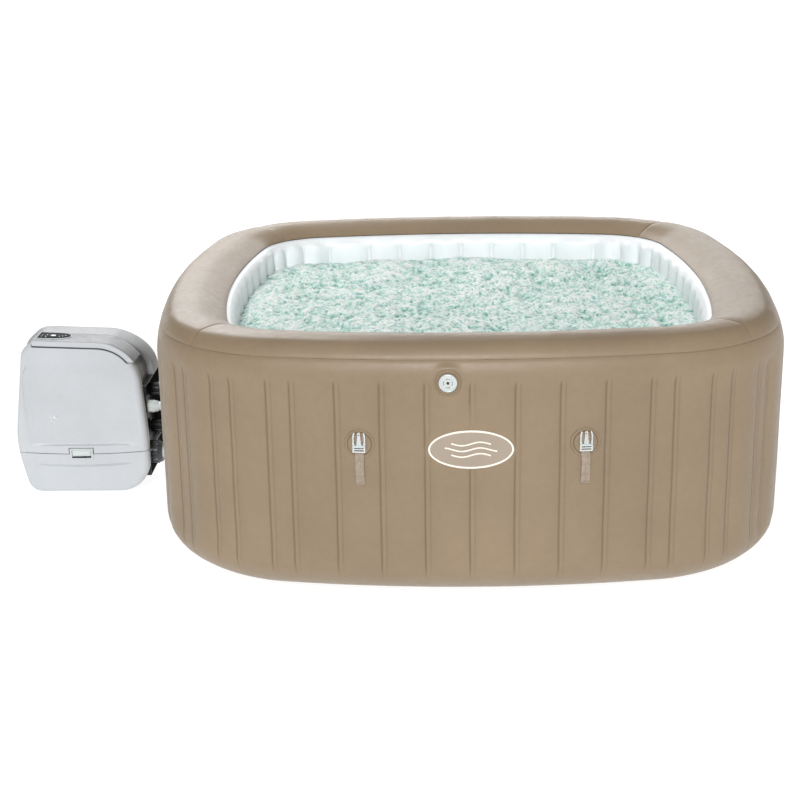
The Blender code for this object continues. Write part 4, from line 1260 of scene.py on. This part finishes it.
class Finish:
    """A Principled material and short ways to add its nodes."""

    def __init__(self, name, colour, roughness):
        self.material = bpy.data.materials.new(name)
        self.material.use_nodes = True
        self.tree = self.material.node_tree
        self.shader = self.tree.nodes["Principled BSDF"]
        self.shader.inputs["Base Color"].default_value = colour
        self.shader.inputs["Roughness"].default_value = roughness
        self.place = self.node("ShaderNodeTexCoord").outputs["Object"]
        self.bump = None
        FINISHES[name] = self.material

    def node(self, kind, **settings):
        """Add a node and set its properties."""
        made = self.tree.nodes.new(kind)
        for key, value in settings.items():
            setattr(made, key, value)
        return made

    def link(self, source, target):
        """Connect two sockets."""
        self.tree.links.new(source, target)

    def noise(self, scale, detail=3.0, stretch=None, roughness=0.5):
        """Noise over the object, with scale in cells per metre."""
        made = self.node("ShaderNodeTexNoise")
        made.inputs["Scale"].default_value = scale
        made.inputs["Detail"].default_value = detail
        made.inputs["Roughness"].default_value = roughness
        source = self.place
        if stretch:
            mapping = self.node("ShaderNodeMapping")
            mapping.inputs["Scale"].default_value = stretch
            self.link(source, mapping.inputs["Vector"])
            source = mapping.outputs["Vector"]
        self.link(source, made.inputs["Vector"])
        return made.outputs["Fac"]

    def cells(self, scale, feature="F1"):
        """Voronoi distance over the object."""
        made = self.node("ShaderNodeTexVoronoi", feature=feature)
        made.inputs["Scale"].default_value = scale
        self.link(self.place, made.inputs["Vector"])
        return made.outputs["Distance"]

    def ramp(self, source, stops):
        """Colour ramp from (position, colour) stops."""
        made = self.node("ShaderNodeValToRGB")
        elements = made.color_ramp.elements
        while len(elements) < len(stops):
            elements.new(0.5)
        for element, (position, colour) in zip(elements, stops):
            element.position = position
            element.color = colour
        self.link(source, made.inputs["Fac"])
        return made.outputs["Color"]

    def mix(self, factor, a, b, blend="MIX"):
        """Mix two colours; each may be a socket or a colour."""
        made = self.node("ShaderNodeMix", data_type="RGBA", blend_type=blend)
        for socket, value in ((made.inputs["Factor"], factor), (made.inputs[6], a), (made.inputs[7], b)):
            if isinstance(value, bpy.types.NodeSocket):
                self.link(value, socket)
            else:
                socket.default_value = value
        return made.outputs[2]

    def remap(self, source, low, high, from_low=0.3, from_high=0.7):
        """Map a value's range onto another."""
        made = self.node("ShaderNodeMapRange")
        sockets = ("From Min", "From Max", "To Min", "To Max")
        for socket, value in zip(sockets, (from_low, from_high, low, high)):
            made.inputs[socket].default_value = value
        self.link(source, made.inputs["Value"])
        return made.outputs["Result"]

    def layer(self, name):
        """A value stored on the mesh's points."""
        return self.node("ShaderNodeAttribute", attribute_name=name).outputs["Fac"]

    def colour(self, source):
        """Drive the base colour."""
        self.link(source, self.shader.inputs["Base Color"])

    def rough(self, source):
        """Drive the roughness."""
        self.link(source, self.shader.inputs["Roughness"])

    def raise_by(self, source, distance, strength=1.0):
        """Add a bump; later ones lie on top of earlier ones."""
        made = self.node("ShaderNodeBump")
        made.inputs["Distance"].default_value = distance
        made.inputs["Strength"].default_value = strength
        self.link(source, made.inputs["Height"])
        if self.bump:
            self.link(self.bump, made.inputs["Normal"])
        self.bump = made.outputs["Normal"]
        self.link(self.bump, self.shader.inputs["Normal"])

    def gloss(self, **values):
        """Set the shader's own constants by socket name."""
        for key, value in values.items():
            self.shader.inputs[key.replace("_", " ")].default_value = value


FINISHES = {}


def scaled(colour, factor):
    """The same colour, lighter or darker."""
    return (*[min(1.0, c * factor) for c in colour[:3]], 1.0)


def vinyl(name, colour, dark, roughness, crease_shade_strength, crease_shade_colour):
    """Laminated vinyl: soft mottling, fine leather grain, scuffs, and painted shade along the welds, seams
    and grooves.
    """
    finish = Finish(name, colour, roughness)
    mottle = finish.noise(3.2, 4.0)
    base = finish.ramp(mottle, ((0.30, scaled(colour, 0.93)), (0.70, scaled(colour, 1.06))))
    scuff = finish.ramp(finish.noise(38.0, 6.0, roughness=0.7), ((0.40, (1.0, 1.0, 1.0, 1.0)), (0.66, dark)))
    base = finish.mix(0.16, base, scuff, "MULTIPLY")
    # Painted shade along the welds, seams and grooves, from the crease layer on the mesh.
    weld_shade = finish.remap(finish.layer("crease"), 0.0, crease_shade_strength, 0.05, 1.0)
    finish.colour(finish.mix(weld_shade, base, crease_shade_colour))
    finish.rough(finish.remap(finish.noise(55.0, 5.0), roughness - 0.05, roughness + 0.07))
    finish.raise_by(finish.noise(9.0, 2.0), 0.0016, 0.5)
    finish.raise_by(finish.cells(950.0), 0.00012, 0.55)
    finish.raise_by(finish.noise(140.0, 3.0), 0.00012, 0.5)
    return finish


def plastic(name, colour, roughness, grain=0.00006):
    """Moulded plastic: fine spark texture, slight tone drift and handling marks."""
    finish = Finish(name, colour, roughness)
    tone = finish.ramp(finish.noise(5.0, 3.0), ((0.3, scaled(colour, 0.96)), (0.7, scaled(colour, 1.03))))
    specks = finish.noise(70.0, 6.0, roughness=0.65)
    dust = finish.ramp(specks, ((0.45, (1, 1, 1, 1)), (0.75, (0.86, 0.85, 0.83, 1))))
    finish.colour(finish.mix(0.25, tone, dust, "MULTIPLY"))
    finish.rough(finish.remap(finish.noise(42.0, 5.0), roughness - 0.06, roughness + 0.08))
    finish.raise_by(finish.noise(1500.0, 2.0), grain, 0.5)
    return finish


def make_foam_water():
    """Pale mint water with white foam on its crests and fine bubbles between them."""
    finish = Finish("foam_water", srgb(196, 224, 216), 0.30)
    crest = finish.layer("foam")
    flecks = finish.noise(105.0, 8.0, roughness=0.80)
    streaks = finish.noise(60.0, 6.0, (1.0, 1.4, 1.0), 0.7)
    height = finish.node("ShaderNodeMath", operation="MULTIPLY_ADD")
    finish.link(flecks, height.inputs[0])
    height.inputs[1].default_value = 1.5
    finish.link(crest, height.inputs[2])
    total = finish.node("ShaderNodeMath", operation="MULTIPLY_ADD")
    finish.link(streaks, total.inputs[0])
    total.inputs[1].default_value = 0.9
    finish.link(height.outputs[0], total.inputs[2])
    level = finish.remap(total.outputs[0], 0.0, 1.0, 0.95, 2.20)
    tones = ((0.10, srgb(78, 134, 120)), (0.34, srgb(122, 180, 165)), (0.54, srgb(174, 213, 203)),
             (0.70, srgb(218, 239, 232)), (0.84, srgb(252, 255, 254)))
    finish.colour(finish.ramp(level, tones))
    finish.rough(finish.remap(total.outputs[0], 0.10, 0.55, 1.1, 1.9))
    finish.raise_by(flecks, 0.006, 0.8)
    finish.raise_by(finish.cells(150.0, "SMOOTH_F1"), 0.003, 0.6)
    finish.gloss(IOR=1.33, Subsurface_Weight=0.15)


def make_webbing_finish():
    """Woven polyester tape: herringbone ribs, thread sheen and fuzz."""
    colour = srgb(158, 142, 126)
    finish = Finish("webbing", colour, 0.82)
    thread = finish.node("ShaderNodeTexWave", wave_type="BANDS", bands_direction="Z")
    thread.inputs["Scale"].default_value = 190.0
    thread.inputs["Distortion"].default_value = 1.2
    finish.link(finish.place, thread.inputs["Vector"])
    cross = finish.node("ShaderNodeTexWave", wave_type="BANDS", bands_direction="DIAGONAL")
    cross.inputs["Scale"].default_value = 150.0
    finish.link(finish.place, cross.inputs["Vector"])
    weave = finish.mix(0.5, thread.outputs["Color"], cross.outputs["Color"])
    tone = finish.ramp(finish.noise(120.0, 4.0), ((0.3, scaled(colour, 0.82)), (0.7, scaled(colour, 1.12))))
    finish.colour(finish.mix(0.35, tone, weave, "SOFT_LIGHT"))
    finish.raise_by(weave, 0.0005, 0.8)
    finish.gloss(Sheen_Weight=0.35, Sheen_Roughness=0.5)


PLAIN_PLASTICS = {
    "cream_print": ((246, 240, 228), 0.45),
    # Darker copy of the light plastic: painted shade on the rear shell, the band's left end and the pan
    # ledge.
    "light_plastic_rear_shaded": ((160, 163, 166), 0.44),
    # Darker copy of the light plastic: painted shade on the bar's top.
    "light_plastic_bar_shaded": ((134, 137, 141), 0.42),
    "light_plastic_emblem": ((214, 216, 219), 0.34),
    "grey_plastic": ((138, 141, 144), 0.42),
    "dark_plastic": ((58, 60, 63), 0.40),
    "black_plastic": ((26, 27, 29), 0.38),
    "board_green": ((30, 84, 58), 0.5),
}


def make_finishes():
    """All materials of the tub."""
    taupe = srgb(144, 126, 103)
    # The last two values set the strength and the colour of the painted shade along the welds.
    taupe_finish = vinyl("taupe_vinyl", taupe, (0.72, 0.68, 0.64, 1.0), 0.40, 0.62, srgb(96, 80, 64))
    taupe_finish.gloss(Coat_Weight=0.08, Coat_Roughness=0.34, Specular_IOR_Level=0.26)
    shade = srgb(196, 206, 210)
    white = vinyl("white_vinyl", srgb(245, 246, 247), (0.93, 0.95, 0.96, 1.0), 0.34, 0.35, shade)
    white.gloss(Subsurface_Weight=0.05)
    vinyl("badge_vinyl", srgb(162, 148, 132), (0.8, 0.8, 0.8, 1.0), 0.5, 0.0, taupe)
    for name, (colour, roughness) in PLAIN_PLASTICS.items():
        plastic(name, srgb(*colour), roughness)
    light = plastic("light_plastic", srgb(189, 193, 197), 0.40)
    light.gloss(Coat_Weight=0.10, Coat_Roughness=0.25)
    clear = plastic("clear_white", srgb(206, 207, 205), 0.26)
    clear.gloss(Subsurface_Weight=0.2, Coat_Weight=0.3, Coat_Roughness=0.12)
    gloss = plastic("panel_gloss", srgb(9, 10, 12), 0.42)
    gloss.gloss(Specular_IOR_Level=0.02)
    # White print for the display bar and touch marks, with a faint painted glow.
    glow = plastic("display_white_painted_glow", srgb(236, 242, 246), 0.3)
    glow.gloss(Emission_Color=srgb(236, 242, 246), Emission_Strength=0.25)
    make_foam_water()
    make_webbing_finish()
    paper = plastic("filter_paper", srgb(232, 236, 238), 0.85, 0.0004)
    pleats = paper.node("ShaderNodeTexWave", wave_type="BANDS", bands_direction="Z")
    pleats.inputs["Scale"].default_value = 60.0
    paper.link(paper.place, pleats.inputs["Vector"])
    paper.raise_by(pleats.outputs["Fac"], 0.003)
    steel = plastic("steel", srgb(170, 173, 178), 0.28)
    steel.gloss(Metallic=1.0)


def finish_cad_nodes():
    """Procedural finishes for the nodes that stay in view as they are."""
    by_node = {
        "base_sheet": "taupe_vinyl", "floor_liner": "white_vinyl", "wall_webs": "white_vinyl",
        "base_tray": "grey_plastic", "coupling_pan": "black_plastic", "cable_gland": "black_plastic",
        "filter_cartridge": "filter_paper", "jet_pump": "black_plastic", "pump_impeller": "steel",
        "heater_tube": "steel", "air_blower": "grey_plastic", "controller_box": "board_green",
    }
    by_node.update({"jet_nozzle_%d" % i: "clear_white" for i in range(1, 9)})
    by_node.update({label + "_pipe": "clear_white" for label in ("upper", "middle", "lower", "return")})
    for name, finish in by_node.items():
        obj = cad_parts[name]
        obj.data.materials.clear()
        obj.data.materials.append(FINISHES[finish])


# ---------------------------------------------------------------- floor, light and camera

def make_stage():
    """Large pale floor."""
    half = 90.0
    floor = from_bmesh("floor", box((-half, -half, -0.02), (half, half, -0.0005)))
    finish = Finish("floor_paint", (0.18, 0.18, 0.18, 1.0), 0.9)
    finish.gloss(Emission_Color=(1.0, 1.0, 1.0, 1.0), Emission_Strength=0.92)
    greys = ((0.3, (0.17, 0.17, 0.17, 1)), (0.7, (0.19, 0.19, 0.19, 1)))
    finish.colour(finish.ramp(finish.noise(0.7, 2.0), greys))
    floor.data.materials.append(finish.material)


def add_area(name, place, target, size, power):
    """Rectangular area light that faces a target."""
    light = bpy.data.lights.new(name, "AREA")
    light.shape = "RECTANGLE"
    light.size, light.size_y = size
    light.energy = power
    obj = new_object(name, light)
    way = Vector(target) - Vector(place)
    obj.rotation_euler = way.to_track_quat("-Z", "Y").to_euler()
    obj.location = place


def make_lights():
    """Dome with a bright band at its horizon, a broad frontal sun, and two lights behind."""
    world = bpy.data.worlds.new("studio")
    world.use_nodes = True
    tree = world.node_tree
    way = tree.nodes.new("ShaderNodeTexCoord")
    parts = tree.nodes.new("ShaderNodeSeparateXYZ")
    strength = tree.nodes.new("ShaderNodeMapRange")
    strength.inputs["To Min"].default_value = DOME_HORIZON
    strength.inputs["To Max"].default_value = DOME_ZENITH
    band = tree.nodes.new("ShaderNodeMapRange")
    band.inputs["From Min"].default_value = 0.10
    band.inputs["From Max"].default_value = 0.16
    band.inputs["To Min"].default_value = 1.0
    band.inputs["To Max"].default_value = 0.0
    total = tree.nodes.new("ShaderNodeMath")
    total.operation = "MAXIMUM"
    tree.links.new(way.outputs["Generated"], parts.inputs["Vector"])
    tree.links.new(parts.outputs["Z"], band.inputs["Value"])
    tree.links.new(parts.outputs["Z"], strength.inputs["Value"])
    back = tree.nodes["Background"]
    back.inputs["Color"].default_value = (1.0, 1.0, 1.0, 1.0)
    tree.links.new(strength.outputs["Result"], total.inputs[0])
    tree.links.new(band.outputs["Result"], total.inputs[1])
    tree.links.new(total.outputs["Value"], back.inputs["Strength"])
    bpy.context.scene.world = world
    add_area("sheen", (-0.4, 6.2, 2.6), (-0.1, 0.0, 0.7), (7.0, 1.2), 120.0)
    add_area("back_light", (-2.2, 4.2, 4.2), (-0.1, 0.2, 0.75), (2.6, 1.6), 125.0)
    sun = bpy.data.lights.new("front_light", "SUN")
    sun.energy = SUN_POWER
    sun.angle = SUN_SPREAD
    obj = new_object("front_light", sun)
    obj.rotation_euler = Vector(SUN_WAY).to_track_quat("-Z", "Y").to_euler()
    bpy.context.scene.view_settings.view_transform = "Standard"


def make_camera():
    """Camera at the photograph's place, solved from the tub's size."""
    yaw, pitch, roll = -0.02766, 0.30463, -0.01681
    ahead = Vector((math.sin(yaw) * math.cos(pitch), math.cos(yaw) * math.cos(pitch), -math.sin(pitch)))
    right = Vector((math.cos(yaw), -math.sin(yaw), 0.0))
    up = right.cross(ahead)
    turned_right = right * math.cos(roll) + up * math.sin(roll)
    turned_up = up * math.cos(roll) - right * math.sin(roll)
    lens = bpy.data.cameras.new("camera")
    lens.lens = 68.35
    lens.sensor_width = 36.0
    lens.shift_x = 0.0041
    lens.shift_y = 0.0013
    lens.clip_end = 300.0
    camera = new_object("camera", lens)
    place = Matrix((turned_right, turned_up, -ahead)).transposed().to_4x4()
    place.translation = (-0.0994, -5.0524, 1.9267)
    camera.matrix_world = place
    bpy.context.scene.camera = camera


# ---------------------------------------------------------------- build

make_camera()
make_lights()
make_stage()
make_finishes()
make_outer_skin()
make_rim_panels()
make_inner_skin()
make_water()
make_badge()
make_straps()
make_valve()
make_drain_cap()
make_front()
make_band()
make_rear()
make_bar()
make_panel()
make_couplings()
finish_cad_nodes()
